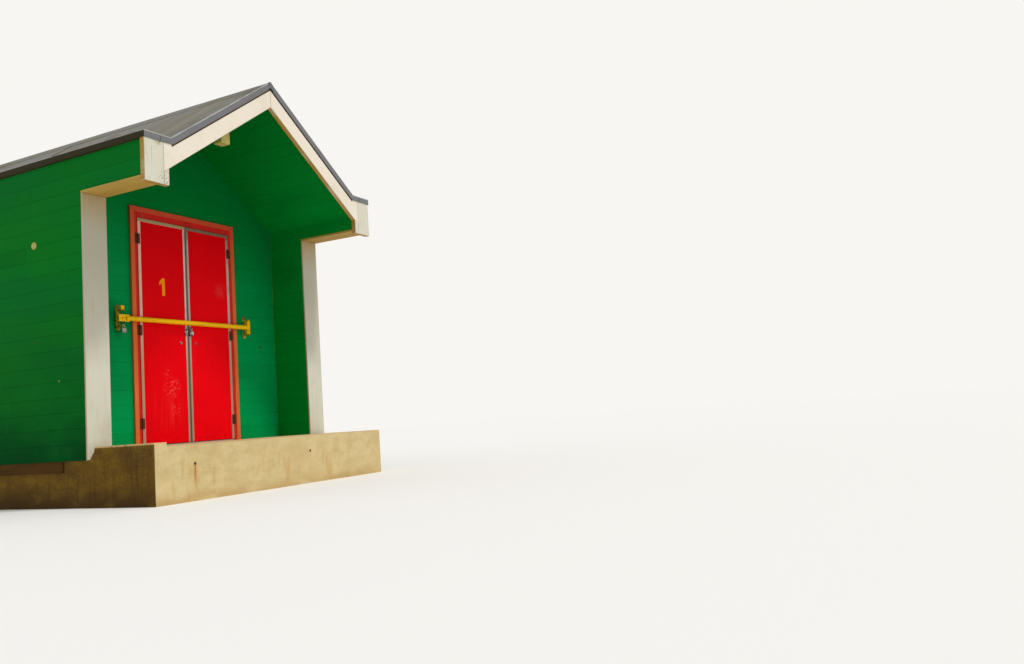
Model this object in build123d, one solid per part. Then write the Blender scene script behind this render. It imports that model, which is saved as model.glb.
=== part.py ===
from build123d import *
import math
import os

os.makedirs("parts", exist_ok=True)

# Gabled timber beach hut from a terrace, with a recessed porch and a barred pair of doors.
# Millimetres. The hut faces -Y, +X is to its right as seen from the front, +Z is up and
# the origin is the middle of the ground under it.

# Plan
BAY = 2500.0
WALL_T = 212.0
PORCH_REACH = 690.0
DOOR_SETBACK = 420.0
BODY_LENGTH = 3150.0
END_WALL_T = 95.0

# Levels above the ground
WALL_FOOT = 352.0
FLOOR_TOP = 412.0
FLAT_ROOF_Z = 2721.0
BEAM_HEIGHT = 338.0
ROOF_PITCH = 35.6
VALLEY_INSET = 34.0

# Concrete plinth
PLINTH_INSET = 10.0
SLAB_GAP = 60.0
SLAB_TOE = 12.0
KERB_RISE = 36.0
KERB_WIDTH = 110.0
KERB_CHAMFER = 8.0
ROOM_FLOOR_T = 22.0
SOLE_HEIGHT = 85.0
SOLE_DEPTH = 100.0
SOLE_START = 279.0
SOLE_END_GAP = 10.0

# Roof build-up, measured square to the slope
COVER_T = 8.0
DECK_T = 18.0
RAFTER_DEPTH = 97.0
RAFTER_WIDTH = 45.0
RAFTER_PITCH = 450.0
RIDGE_T = 22.0
RIDGE_DEPTH = 105.0
CEILING_T = 15.0
BOARD_JOINT = 1.0

# Run of a cutting shape past the face it cuts
CUT = 1.0

# Roof edges
TRIM_T = 6.0
TRIM_DROP = 42.0
TRIM_RISE = 10.0
TRIM_LIP = 25.0
BATTEN_T = 26.0
BARGE_WIDTH = 125.0
BARGE_T = 47.0
BACK_BARGE_T = 22.0
FASCIA_T = 5.0
FASCIA_HEIGHT = 12.0

# Eaves blocks, posts and soffits
BLOCK_DROP = 28.0
FOOT_BOARD_WIDTH = 47.0
FOOT_BOARD_SPILL = 10.0
POST_BOARD_T = 18.0
SOFFIT_T = 18.0

# Door frame
LEAF_WIDTH = 520.0
LEAF_HEIGHT = 1976.0
LEAF_T = 44.0
LEAF_EDGE_BEVEL = 4.0
DOOR_GAP = 5.0
THRESHOLD_RISE = 8.0
FRAME_PROUD = 14.0
JAMB_FACE = 35.0
HEAD_FACE = 57.0
STOP_WIDTH = 15.0
ARCHITRAVE_WIDTH = 45.0
ARCHITRAVE_PROUD = 20.0
ARCHITRAVE_LAP = 7.0

# Leaf fittings
STRIP_WIDTH = 28.0
STRIP_T = 2.5
HINGE_LENGTH = 90.0
HINGE_END = 184.0
KNUCKLE_R = 6.5
KNUCKLE_GAP = 0.6
HINGE_PIN_R = 3.5
HINGE_PIN_PLAY = 0.1
FLAP_WIDTH = 18.0
FLAP_T = 2.0
ESCUTCHEON_R = 14.0
ESCUTCHEON_T = 4.0
ESCUTCHEON_EDGE = 82.0
ESCUTCHEON_Z = 1320.0
KEYHOLE_R = 3.5
KEYHOLE_SLOT = 10.0
HASP_DROP = 80.0
HASP_WIDTH = 32.0
HASP_HEIGHT = 66.0
HASP_T = 3.0
HASP_EDGE = 4.0
HASP_SLOT = 26.0
HASP_SLOT_WIDTH = 7.0
TAB_ROUND = 9.0
RING_DROP = 20.0

# Locking bar and its brackets
BAR_Z = 1500.0
BAR_R = 21.2
BAR_STAND = 58.0
PIVOT_X = 714.0
KEEPER_X = 735.0
BRACKET_WIDTH = 40.0
BRACKET_HEIGHT = 218.0
BRACKET_T = 6.0
BRACKET_RISE = 8.0
LUG_T = 8.0
LUG_WIDTH = 34.0
LUG_HOLE_PLAY = 2.0
PIN_R = 8.0
PIN_PLAY = 0.3
PIN_HEAD_R = 14.0
PIN_HEAD_T = 7.0
BARREL_R = 18.5
BARREL_HALF = 61.5
BARREL_GAP = 1.5
TONGUE_T = 10.0
TONGUE_HEIGHT = 60.0
TONGUE_LENGTH = 70.0
TONGUE_HOLE_R = 7.0
BOLT_R = 9.0
BOLT_T = 6.0
BOLT_INSET = 20.0
BOLT_SIDES = 6

# Padlocks
LOCK_WIDTH = 40.0
LOCK_HEIGHT = 36.0
LOCK_DEPTH = 18.0
LOCK_ROUND = 4.0
SHACKLE_R = 3.5
SHACKLE_SPAN = 22.0
SHACKLE_RISE = 20.0
SHACKLE_PLAY = 0.4
SHACKLE_ROOT = 8.0
SHACKLE_SIDES = 8

# Porch light and wall cap
LIGHT_WIDTH = 92.0
LIGHT_DEPTH = 88.0
LIGHT_DROP = 134.0
LIGHT_RIM = 9.0
LIGHT_RECESS = 7.0
LIGHT_LENS_BEVEL = 5.0
LIGHT_CHAMFER = 3.0
LIGHT_SETBACK = 5.0
LIGHT_OUT = 500.0
CAP_R = 30.0
CAP_T = 6.0
CAP_SIDES = 30
CAP_BACK = 577.0
CAP_Z = 2053.0

# Worked-out places
TAN = math.tan(math.radians(ROOF_PITCH))
COS = math.cos(math.radians(ROOF_PITCH))
MITRE_TAN = math.tan(math.radians(ROOF_PITCH) / 2)
HALF_CLEAR = (BAY - WALL_T) / 2
HALF_WIDTH = (BAY + WALL_T) / 2
VALLEY = HALF_CLEAR - VALLEY_INSET
POST_Y = (PORCH_REACH - BODY_LENGTH - BACK_BARGE_T) / 2
REACH_Y = POST_Y - PORCH_REACH
BARGE_BACK_Y = REACH_Y + BARGE_T
DOOR_WALL_Y = POST_Y + DOOR_SETBACK
DOOR_WALL_BACK_Y = DOOR_WALL_Y + END_WALL_T
BACK_Y = POST_Y + BODY_LENGTH
ROOM_BACK_Y = BACK_Y - END_WALL_T
ROOF_BACK_Y = BACK_Y + BACK_BARGE_T
DECK_TOP = COVER_T
DECK_BOTTOM = COVER_T + DECK_T
DECK_VALLEY = VALLEY - DECK_BOTTOM * MITRE_TAN
RAFTER_BOTTOM = DECK_BOTTOM + RAFTER_DEPTH
CEILING_BOTTOM = RAFTER_BOTTOM + CEILING_T
BARGE_TOP = DECK_BOTTOM + BATTEN_T
BARGE_BOTTOM = BARGE_TOP + BARGE_WIDTH
WALL_TOP = FLAT_ROOF_Z - DECK_BOTTOM
SOFFIT_Z = FLAT_ROOF_Z - BEAM_HEIGHT
BLOCK_FOOT = SOFFIT_Z - BLOCK_DROP
FOOT_BOARD_IN = HALF_CLEAR - FOOT_BOARD_SPILL
FOOT_BOARD_OUT = FOOT_BOARD_IN + FOOT_BOARD_WIDTH

LEAF_FOOT = FLOOR_TOP + THRESHOLD_RISE + DOOR_GAP
LEAF_TOP = LEAF_FOOT + LEAF_HEIGHT
LEAF_IN = DOOR_GAP / 2
LEAF_OUT = LEAF_IN + LEAF_WIDTH
JAMB_IN = LEAF_OUT + DOOR_GAP
JAMB_OUT = JAMB_IN + JAMB_FACE
HEAD_FOOT = LEAF_TOP + DOOR_GAP
HEAD_TOP = HEAD_FOOT + HEAD_FACE
FRAME_Y = DOOR_WALL_Y - FRAME_PROUD
LEAF_BACK_Y = FRAME_Y + LEAF_T
STOP_Y = LEAF_BACK_Y + DOOR_GAP
STRIP_Y = FRAME_Y - STRIP_T
HINGE_X = LEAF_OUT + DOOR_GAP / 2
HINGE_Y = FRAME_Y - KNUCKLE_R
FLAP_EDGE = KNUCKLE_R + KNUCKLE_GAP
HINGE_ZS = [LEAF_FOOT + HINGE_END, (LEAF_FOOT + LEAF_TOP) / 2, LEAF_TOP - HINGE_END]
BAR_Y = DOOR_WALL_Y - BAR_STAND
BRACKET_Y = DOOR_WALL_Y - BRACKET_T
BRACKET_Z = BAR_Z + BRACKET_RISE
LUG_Z = BARREL_HALF + BARREL_GAP
HASP_Z = BAR_Z - HASP_DROP
RING_Z = BAR_Z - BAR_R - RING_DROP
LEAF_LOCK_Y = STRIP_Y - HASP_T - LOCK_DEPTH / 2
CROWN = SHACKLE_SPAN / 2
CROWN_IN = CROWN - SHACKLE_R - SHACKLE_PLAY
RING_LIFT = CROWN - math.sqrt(CROWN_IN**2 - (LUG_WIDTH / 2 - CROWN) ** 2)


def block(x0, x1, y0, y1, z0, z1):
    """Return the box between two corners."""
    centre = Pos((x0 + x1) / 2, (y0 + y1) / 2, (z0 + z1) / 2)
    return centre * Box(abs(x1 - x0), abs(y1 - y0), abs(z1 - z0))


def across(points, y0, y1):
    """Extrude an (x, z) outline from y0 to y1."""
    face = Face(Wire.make_polygon([(x, y0, z) for x, z in points]))
    return extrude(face, amount=y1 - y0, dir=(0, 1, 0))


def along(points, x0, x1):
    """Extrude a (y, z) outline from x0 to x1."""
    face = Face(Wire.make_polygon([(x0, y, z) for y, z in points]))
    return extrude(face, amount=x1 - x0, dir=(1, 0, 0))


def mirrored(shape):
    """Return the shape mirrored to the other side of the hut."""
    return mirror(shape, about=Plane.YZ)


def upright(radius, z0, z1, x, y):
    """Return a vertical cylinder."""
    return Pos(x, y, (z0 + z1) / 2) * Cylinder(radius, z1 - z0)


def slope_z(x, depth):
    """Return the height of the slope's line, depth below the covering and square to it."""
    return FLAT_ROOF_Z + (VALLEY - x) * TAN - depth / COS


def slope_band(x_low, x_high, top, bottom, y0, y1):
    """Return a layer of the right slope between two plumb cuts."""
    outline = [
        (x_low, slope_z(x_low, top)),
        (x_low, slope_z(x_low, bottom)),
        (x_high, slope_z(x_high, bottom)),
        (x_high, slope_z(x_high, top)),
    ]
    return across(outline, y0, y1)


def valley_x(depth):
    """Return where the slope's layer meets the flat strip's layer."""
    return VALLEY - depth * MITRE_TAN


def roof_half(top, bottom, y0, y1, x_start=0.0, x_end=HALF_WIDTH):
    """Return the right half of a layer over the slope and the flat strip."""
    outline = [
        (x_start, slope_z(x_start, top)),
        (x_start, slope_z(x_start, bottom)),
        (valley_x(bottom), FLAT_ROOF_Z - bottom),
        (x_end, FLAT_ROOF_Z - bottom),
        (x_end, FLAT_ROOF_Z - top),
        (valley_x(top), FLAT_ROOF_Z - top),
    ]
    return across(outline, y0, y1)


def both(shape):
    """Return the shape and its mirror image as separate solids."""
    return [shape, mirrored(shape)]


def concrete_plinth():
    """Stained concrete base with the porch slab, its kerb and the ledges under the walls."""
    half = HALF_WIDTH - PLINTH_INSET
    back = BACK_Y - PLINTH_INSET
    slab_back = POST_Y - SLAB_GAP
    body = block(-half, half, REACH_Y, back, 0, WALL_FOOT)
    porch = block(-half, half, REACH_Y, slab_back, WALL_FOOT, FLOOR_TOP)
    recess = block(-HALF_CLEAR, HALF_CLEAR, slab_back, DOOR_WALL_BACK_Y, WALL_FOOT, FLOOR_TOP)
    under_room = FLOOR_TOP - ROOM_FLOOR_T
    room = block(-HALF_CLEAR, HALF_CLEAR, DOOR_WALL_BACK_Y, ROOM_BACK_Y, WALL_FOOT, under_room)
    haunch_outline = [
        (slab_back, WALL_FOOT),
        (POST_Y - SLAB_TOE, WALL_FOOT),
        (slab_back, FLOOR_TOP),
    ]
    haunch = along(haunch_outline, -half, half)
    kerb_top = FLOOR_TOP + KERB_RISE
    kerb_outline = [
        (REACH_Y, FLOOR_TOP),
        (slab_back, FLOOR_TOP),
        (slab_back - KERB_CHAMFER, kerb_top),
        (REACH_Y, kerb_top),
    ]
    kerb = along(kerb_outline, -half, -half + KERB_WIDTH)
    plinth = body + porch + recess + room + haunch + kerb
    for side in (-1, 1):
        plinth -= block(
            side * (half + CUT),
            side * (HALF_WIDTH - SOLE_DEPTH),
            POST_Y + SOLE_START,
            back + CUT,
            WALL_FOOT - SOLE_HEIGHT,
            WALL_FOOT + CUT,
        )
    return [plinth]


def sole_beams():
    """Brown timber soles that carry the side walls behind the porch."""
    sole = block(
        HALF_WIDTH - SOLE_DEPTH,
        HALF_WIDTH - PLINTH_INSET / 2,
        POST_Y + SOLE_START + SOLE_END_GAP,
        BACK_Y - PLINTH_INSET,
        WALL_FOOT - SOLE_HEIGHT,
        WALL_FOOT,
    )
    return both(sole)


def room_floor():
    """Boarded floor on the plinth behind the door wall."""
    foot = FLOOR_TOP - ROOM_FLOOR_T
    return [block(-HALF_CLEAR, HALF_CLEAR, DOOR_WALL_BACK_Y, ROOM_BACK_Y, foot, FLOOR_TOP)]


def side_wall():
    """Right party wall: full height behind the post, a beam out over the porch before it."""
    outline = [
        (POST_Y + POST_BOARD_T, WALL_FOOT),
        (BACK_Y, WALL_FOOT),
        (BACK_Y, WALL_TOP),
        (BARGE_BACK_Y, WALL_TOP),
        (BARGE_BACK_Y, SOFFIT_Z + SOFFIT_T),
        (POST_Y + POST_BOARD_T, SOFFIT_Z + SOFFIT_T),
    ]
    return along(outline, HALF_CLEAR, HALF_WIDTH)


def back_wall():
    """Rear gable wall between the side walls, on the plinth's rear ledge."""
    outline = [
        (-HALF_CLEAR, WALL_FOOT),
        (HALF_CLEAR, WALL_FOOT),
        (HALF_CLEAR, WALL_TOP),
        (DECK_VALLEY, WALL_TOP),
        (0, slope_z(0, DECK_BOTTOM)),
        (-DECK_VALLEY, WALL_TOP),
        (-HALF_CLEAR, WALL_TOP),
    ]
    return [across(outline, ROOM_BACK_Y, BACK_Y)]


def front_wall_side():
    """Right part of the door wall, from the frame to the party wall."""
    outline = [
        (JAMB_OUT, FLOOR_TOP),
        (HALF_CLEAR, FLOOR_TOP),
        (HALF_CLEAR, slope_z(HALF_CLEAR, RAFTER_BOTTOM)),
        (JAMB_OUT, slope_z(JAMB_OUT, RAFTER_BOTTOM)),
    ]
    return across(outline, DOOR_WALL_Y, DOOR_WALL_BACK_Y)


def front_gable():
    """Part of the door wall over the doorway."""
    outline = [
        (-JAMB_OUT, HEAD_TOP),
        (JAMB_OUT, HEAD_TOP),
        (JAMB_OUT, slope_z(JAMB_OUT, RAFTER_BOTTOM)),
        (0, slope_z(0, RAFTER_BOTTOM)),
        (-JAMB_OUT, slope_z(JAMB_OUT, RAFTER_BOTTOM)),
    ]
    return [across(outline, DOOR_WALL_Y, DOOR_WALL_BACK_Y)]


def post_boards():
    """White boards on the ends of the side walls."""
    return both(block(HALF_CLEAR, HALF_WIDTH, POST_Y, POST_Y + POST_BOARD_T, WALL_FOOT, SOFFIT_Z))


def soffit_boards():
    """Boards under the beams that reach out over the porch."""
    back = POST_Y + POST_BOARD_T
    return both(block(HALF_CLEAR, HALF_WIDTH, BARGE_BACK_Y, back, SOFFIT_Z, SOFFIT_Z + SOFFIT_T))


def eaves_block():
    """Right end of a beam: a wide upright board and the narrow one under the bargeboard."""
    wide = block(FOOT_BOARD_OUT + BOARD_JOINT, HALF_WIDTH, REACH_Y, BARGE_BACK_Y, BLOCK_FOOT, WALL_TOP)
    outline = [
        (FOOT_BOARD_IN, BLOCK_FOOT),
        (FOOT_BOARD_OUT, BLOCK_FOOT),
        (FOOT_BOARD_OUT, slope_z(FOOT_BOARD_OUT, BARGE_BOTTOM)),
        (FOOT_BOARD_IN, slope_z(FOOT_BOARD_IN, BARGE_BOTTOM)),
    ]
    return [wide, across(outline, REACH_Y, BARGE_BACK_Y)]


def bargeboard(y0, y1, foot):
    """Right bargeboard, its foot cut plumb and let in under the flat strip."""
    outline = [
        (BOARD_JOINT / 2, slope_z(BOARD_JOINT / 2, BARGE_TOP)),
        (BOARD_JOINT / 2, slope_z(BOARD_JOINT / 2, BARGE_BOTTOM)),
        (foot, slope_z(foot, BARGE_BOTTOM)),
        (foot, WALL_TOP),
        (DECK_VALLEY, WALL_TOP),
        (DECK_VALLEY, slope_z(DECK_VALLEY, BARGE_TOP)),
    ]
    return across(outline, y0, y1)


def verge_battens():
    """Brown battens between the bargeboards and the roof deck, front and back."""
    start = BOARD_JOINT / 2
    front = slope_band(start, DECK_VALLEY, DECK_BOTTOM, BARGE_TOP, REACH_Y, BARGE_BACK_Y)
    back = slope_band(start, DECK_VALLEY, DECK_BOTTOM, BARGE_TOP, BACK_Y, ROOF_BACK_Y)
    return both(front) + both(back)


def porch_ceiling():
    """Right slope of the boarded porch ceiling."""
    return slope_band(BOARD_JOINT / 2, HALF_CLEAR, RAFTER_BOTTOM, CEILING_BOTTOM, BARGE_BACK_Y, DOOR_WALL_Y)


def rafters():
    """Pairs of rafters against the ridge board, the first one behind the bargeboards."""
    last = ROOM_BACK_Y - RAFTER_WIDTH
    count = math.ceil((last - BARGE_BACK_Y) / RAFTER_PITCH) + 1
    step = (last - BARGE_BACK_Y) / (count - 1)
    pieces = []
    for index in range(count):
        y0 = BARGE_BACK_Y + index * step
        rafter = slope_band(RIDGE_T / 2, HALF_CLEAR, DECK_BOTTOM, RAFTER_BOTTOM, y0, y0 + RAFTER_WIDTH)
        pieces += both(rafter)
    return pieces


def ridge_board():
    """Ridge board between the rafters."""
    top = slope_z(RIDGE_T / 2, DECK_BOTTOM)
    return [block(-RIDGE_T / 2, RIDGE_T / 2, BARGE_BACK_Y, ROOM_BACK_Y, top - RIDGE_DEPTH, top)]


def roof_deck():
    """Right half of the roof deck."""
    return roof_half(DECK_TOP, DECK_BOTTOM, REACH_Y, ROOF_BACK_Y, BOARD_JOINT / 2)


def roof_covering():
    """Felt covering over both slopes and the flat strips."""
    half = roof_half(0, COVER_T, REACH_Y, ROOF_BACK_Y)
    return [half + mirrored(half)]


def gable_trim(face_y0, face_y1, lip_y0, lip_y1):
    """Drip trim along one gable: a face over the roof's edge and a lip on the covering."""
    face = roof_half(-TRIM_RISE, TRIM_DROP, face_y0, face_y1, 0.0, HALF_WIDTH + TRIM_T)
    lip = roof_half(-TRIM_RISE, 0, lip_y0, lip_y1)
    half = face + lip
    return [half + mirrored(half)]


def side_roof_trims():
    """Drip trims along the flat strips' outer edges."""
    face = block(
        HALF_WIDTH,
        HALF_WIDTH + TRIM_T,
        REACH_Y,
        ROOF_BACK_Y,
        FLAT_ROOF_Z - TRIM_DROP,
        FLAT_ROOF_Z + TRIM_RISE,
    )
    lip = block(
        HALF_WIDTH - TRIM_LIP,
        HALF_WIDTH,
        REACH_Y + TRIM_LIP,
        ROOF_BACK_Y - TRIM_LIP,
        FLAT_ROOF_Z,
        FLAT_ROOF_Z + TRIM_RISE,
    )
    return both(face + lip)


def side_fascias():
    """Brown strips under the side trims."""
    top = FLAT_ROOF_Z - TRIM_DROP
    return both(block(HALF_WIDTH, HALF_WIDTH + FASCIA_T, BARGE_BACK_Y, BACK_Y, top - FASCIA_HEIGHT, top))


def door_frame():
    """Jambs and head with a rebate that stops the leaves."""
    outer = block(-JAMB_OUT, JAMB_OUT, FRAME_Y, DOOR_WALL_BACK_Y, FLOOR_TOP, HEAD_TOP)
    rebate = block(-JAMB_IN, JAMB_IN, FRAME_Y - CUT, STOP_Y, FLOOR_TOP - CUT, HEAD_FOOT)
    clear = JAMB_IN - STOP_WIDTH
    way_top = HEAD_FOOT - STOP_WIDTH
    way = block(-clear, clear, FRAME_Y - CUT, DOOR_WALL_BACK_Y + CUT, FLOOR_TOP - CUT, way_top)
    return [outer - rebate - way]


def architrave():
    """Flat architrave round the frame."""
    inner_x = JAMB_OUT - ARCHITRAVE_LAP
    inner_z = HEAD_TOP - ARCHITRAVE_LAP
    outer_x = inner_x + ARCHITRAVE_WIDTH
    outer_z = inner_z + ARCHITRAVE_WIDTH
    y0 = DOOR_WALL_Y - ARCHITRAVE_PROUD
    whole = block(-outer_x, outer_x, y0, DOOR_WALL_Y, FLOOR_TOP, outer_z)
    hole = block(-inner_x, inner_x, y0 - CUT, FRAME_Y, FLOOR_TOP - CUT, inner_z)
    back_hole = block(-JAMB_OUT, JAMB_OUT, FRAME_Y, DOOR_WALL_Y + CUT, FLOOR_TOP - CUT, HEAD_TOP)
    return [whole - hole - back_hole]


def threshold():
    """Low metal-nosed threshold between the jambs."""
    clear = JAMB_IN - STOP_WIDTH
    return [block(-clear, clear, FRAME_Y, DOOR_WALL_BACK_Y, FLOOR_TOP, FLOOR_TOP + THRESHOLD_RISE)]


def leaf():
    """Right leaf, its meeting edge bevelled so that it swings past the other."""
    outline = [
        (LEAF_IN, FRAME_Y),
        (LEAF_OUT, FRAME_Y),
        (LEAF_OUT, LEAF_BACK_Y),
        (LEAF_IN + LEAF_EDGE_BEVEL, LEAF_BACK_Y),
    ]
    face = Face(Wire.make_polygon([(x, y, LEAF_FOOT) for x, y in outline]))
    return extrude(face, amount=LEAF_HEIGHT, dir=(0, 0, 1))


def leaf_trim():
    """Metal strips round the right leaf's face, all but its foot."""
    whole = block(LEAF_IN, LEAF_OUT, STRIP_Y, FRAME_Y, LEAF_FOOT, LEAF_TOP)
    hole = block(
        LEAF_IN + STRIP_WIDTH,
        LEAF_OUT - STRIP_WIDTH,
        STRIP_Y - CUT,
        FRAME_Y + CUT,
        LEAF_FOOT - CUT,
        LEAF_TOP - STRIP_WIDTH,
    )
    strips = whole - hole
    for z in HINGE_ZS:
        strips -= block(
            HINGE_X - FLAP_EDGE - FLAP_WIDTH - KNUCKLE_GAP,
            LEAF_OUT + CUT,
            STRIP_Y - CUT,
            FRAME_Y + CUT,
            z - HINGE_LENGTH / 2 - KNUCKLE_GAP,
            z + HINGE_LENGTH / 2 + KNUCKLE_GAP,
        )
    return [strips]


def knuckle(z0, z1):
    """Return one length of hinge barrel."""
    return upright(KNUCKLE_R, z0, z1, HINGE_X, HINGE_Y)


def frame_hinge(z):
    """Frame half of one hinge, with its pin."""
    half = HINGE_LENGTH / 2
    third = HINGE_LENGTH / 6
    flap_x = HINGE_X + FLAP_EDGE
    hinge = upright(HINGE_PIN_R, z - half, z + half, HINGE_X, HINGE_Y)
    hinge += block(flap_x, flap_x + FLAP_WIDTH, FRAME_Y - FLAP_T, FRAME_Y, z - half, z + half)
    for z0, z1 in ((z - half, z - third - KNUCKLE_GAP), (z + third + KNUCKLE_GAP, z + half)):
        hinge += knuckle(z0, z1)
        hinge += block(HINGE_X, flap_x, FRAME_Y - FLAP_T, FRAME_Y, z0, z1)
    return hinge


def leaf_hinge(z):
    """Leaf half of one hinge."""
    half = HINGE_LENGTH / 2
    third = HINGE_LENGTH / 6
    flap_x = HINGE_X - FLAP_EDGE
    hinge = knuckle(z - third, z + third)
    hinge += block(flap_x, HINGE_X, FRAME_Y - FLAP_T, FRAME_Y, z - third, z + third)
    hinge += block(flap_x - FLAP_WIDTH, flap_x, FRAME_Y - FLAP_T, FRAME_Y, z - half, z + half)
    bore = HINGE_PIN_R + HINGE_PIN_PLAY
    return hinge - upright(bore, z - HINGE_LENGTH, z + HINGE_LENGTH, HINGE_X, HINGE_Y)


def leaf_hinges():
    """Leaf halves of the right leaf's hinges."""
    return [leaf_hinge(z) for z in HINGE_ZS]


def escutcheon():
    """Round keyhole plate on the right leaf."""
    x = LEAF_IN + ESCUTCHEON_EDGE
    turn = Rot(90, 0, 0)
    plate = Pos(x, FRAME_Y - ESCUTCHEON_T / 2, ESCUTCHEON_Z) * turn * Cylinder(ESCUTCHEON_R, ESCUTCHEON_T)
    front = plate.faces().sort_by(Axis.Y)[0]
    plate = chamfer(front.edges(), ESCUTCHEON_T / 3)
    hole = Pos(x, FRAME_Y - ESCUTCHEON_T, ESCUTCHEON_Z) * turn * Cylinder(KEYHOLE_R, ESCUTCHEON_T)
    slot = block(
        x - KEYHOLE_R / 2,
        x + KEYHOLE_R / 2,
        FRAME_Y - ESCUTCHEON_T * 1.5,
        FRAME_Y - ESCUTCHEON_T / 2,
        ESCUTCHEON_Z - KEYHOLE_SLOT,
        ESCUTCHEON_Z,
    )
    return plate - hole - slot


def padlock(x, y, ring_z):
    """Return a padlock body and shackle; the shackle's crown is at ring_z."""
    body_top = ring_z - SHACKLE_RISE - CROWN
    root = body_top - SHACKLE_ROOT
    shoulder = ring_z - CROWN
    body = Pos(x, y, body_top - LOCK_HEIGHT / 2) * Box(LOCK_WIDTH, LOCK_DEPTH, LOCK_HEIGHT)
    body = fillet(body.edges().filter_by(Axis.Y), LOCK_ROUND)
    path = Wire(
        [
            Edge.make_line((x - CROWN, y, root), (x - CROWN, y, shoulder)),
            Edge.make_three_point_arc((x - CROWN, y, shoulder), (x, y, ring_z), (x + CROWN, y, shoulder)),
            Edge.make_line((x + CROWN, y, shoulder), (x + CROWN, y, root)),
        ]
    )
    foot = Plane(origin=(x - CROWN, y, root), z_dir=(0, 0, 1))
    section = foot * RegularPolygon(SHACKLE_R, SHACKLE_SIDES, major_radius=False)
    return body + sweep(section, path)


def fitting_plate():
    """Rounded plate beside the right leaf's meeting edge."""
    x0 = LEAF_IN + HASP_EDGE
    half = HASP_HEIGHT / 2
    plate = block(x0, x0 + HASP_WIDTH, STRIP_Y - HASP_T, STRIP_Y, HASP_Z - half, HASP_Z + half)
    return fillet(plate.edges().filter_by(Axis.Y), LOCK_ROUND)


def hasp_plate():
    """Hasp strap folded back on the left leaf, drawn on the right side."""
    strap = fitting_plate()
    x = LEAF_IN + HASP_EDGE + HASP_WIDTH / 2
    slot = extrude(SlotOverall(HASP_SLOT, HASP_SLOT_WIDTH, rotation=90), HASP_T * 2, both=True)
    return strap - Pos(x, STRIP_Y, HASP_Z) * Rot(90, 0, 0) * slot


def staple():
    """Plate on the right leaf with a drilled tab for the padlock's shackle."""
    x = LEAF_IN + HASP_EDGE + HASP_WIDTH / 2
    front = STRIP_Y - HASP_T
    tab = block(
        x - HASP_T / 2,
        x + HASP_T / 2,
        LEAF_LOCK_Y - TAB_ROUND,
        front,
        RING_Z - TAB_ROUND,
        RING_Z + TAB_ROUND,
    )
    tab = fillet(tab.edges().filter_by(Axis.X).sort_by(Axis.Y)[:2], TAB_ROUND / 2)
    hole = Pos(x, LEAF_LOCK_Y, RING_Z) * Rot(0, 90, 0) * Cylinder(SHACKLE_R + SHACKLE_PLAY, HASP_T * 2)
    return fitting_plate() + tab - hole


def bracket_plate(x):
    """Round-ended wall plate with two lugs and its fixing bolts."""
    turn = Rot(90, 0, 0)
    plate = Pos(x, DOOR_WALL_Y - BRACKET_T / 2, BRACKET_Z) * turn * extrude(
        SlotOverall(BRACKET_HEIGHT, BRACKET_WIDTH, rotation=90), BRACKET_T / 2, both=True
    )
    for side in (-1, 1):
        z = BRACKET_Z + side * (BRACKET_HEIGHT / 2 - BOLT_INSET)
        plate += Pos(x, BRACKET_Y - BOLT_T / 2, z) * turn * extrude(
            RegularPolygon(BOLT_R, BOLT_SIDES), BOLT_T / 2, both=True
        )
    return plate


def lug(x, z0):
    """Horizontal lug with a round nose about the bar's line."""
    body = block(x - LUG_WIDTH / 2, x + LUG_WIDTH / 2, BAR_Y, BRACKET_Y, z0, z0 + LUG_T)
    return body + upright(LUG_WIDTH / 2, z0, z0 + LUG_T, x, BAR_Y)


def right_bracket():
    """Pivot bracket with its pin."""
    top = lug(PIVOT_X, BAR_Z + LUG_Z)
    bottom = lug(PIVOT_X, BAR_Z - LUG_Z - LUG_T)
    pin = upright(PIN_R, BAR_Z - LUG_Z - LUG_T - PIN_HEAD_T, BAR_Z + LUG_Z + LUG_T, PIVOT_X, BAR_Y)
    head_z = BAR_Z + LUG_Z + LUG_T
    pin += upright(PIN_HEAD_R, head_z, head_z + PIN_HEAD_T, PIVOT_X, BAR_Y)
    return [bracket_plate(PIVOT_X) + top + bottom + pin]


def left_bracket():
    """Keeper bracket; its lower lug is drilled for a padlock."""
    x = -KEEPER_X
    top = lug(x, BAR_Z + LUG_Z)
    bottom = lug(x, BAR_Z - LUG_Z - LUG_T)
    hole_foot = BAR_Z - LUG_Z - LUG_T - CUT
    bottom -= upright(SHACKLE_R + LUG_HOLE_PLAY, hole_foot, BAR_Z - LUG_Z + CUT, x, BAR_Y)
    return [bracket_plate(x) + top + bottom]


def locking_bar():
    """Tube with a pivot barrel at one end and a flat tongue at the other."""
    turn = Rot(0, 90, 0)
    tongue_x = -KEEPER_X
    tube_x0 = tongue_x + TONGUE_LENGTH / 2
    tube_x1 = PIVOT_X
    tube = Pos((tube_x0 + tube_x1) / 2, BAR_Y, BAR_Z) * turn * Cylinder(BAR_R, tube_x1 - tube_x0)
    barrel = upright(BARREL_R, BAR_Z - BARREL_HALF, BAR_Z + BARREL_HALF, PIVOT_X, BAR_Y)
    bar = tube + barrel
    bore_half = BARREL_HALF + CUT
    bar -= upright(PIN_R + PIN_PLAY, BAR_Z - bore_half, BAR_Z + bore_half, PIVOT_X, BAR_Y)
    tongue = block(
        tongue_x - TONGUE_LENGTH / 2,
        tube_x0 + TONGUE_LENGTH / 2,
        BAR_Y - TONGUE_T / 2,
        BAR_Y + TONGUE_T / 2,
        BAR_Z - TONGUE_HEIGHT / 2,
        BAR_Z + TONGUE_HEIGHT / 2,
    )
    eye = Pos(tongue_x, BAR_Y, BAR_Z) * Rot(90, 0, 0) * Cylinder(TONGUE_HOLE_R, TONGUE_T * 2)
    return [bar + tongue - eye]


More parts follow.
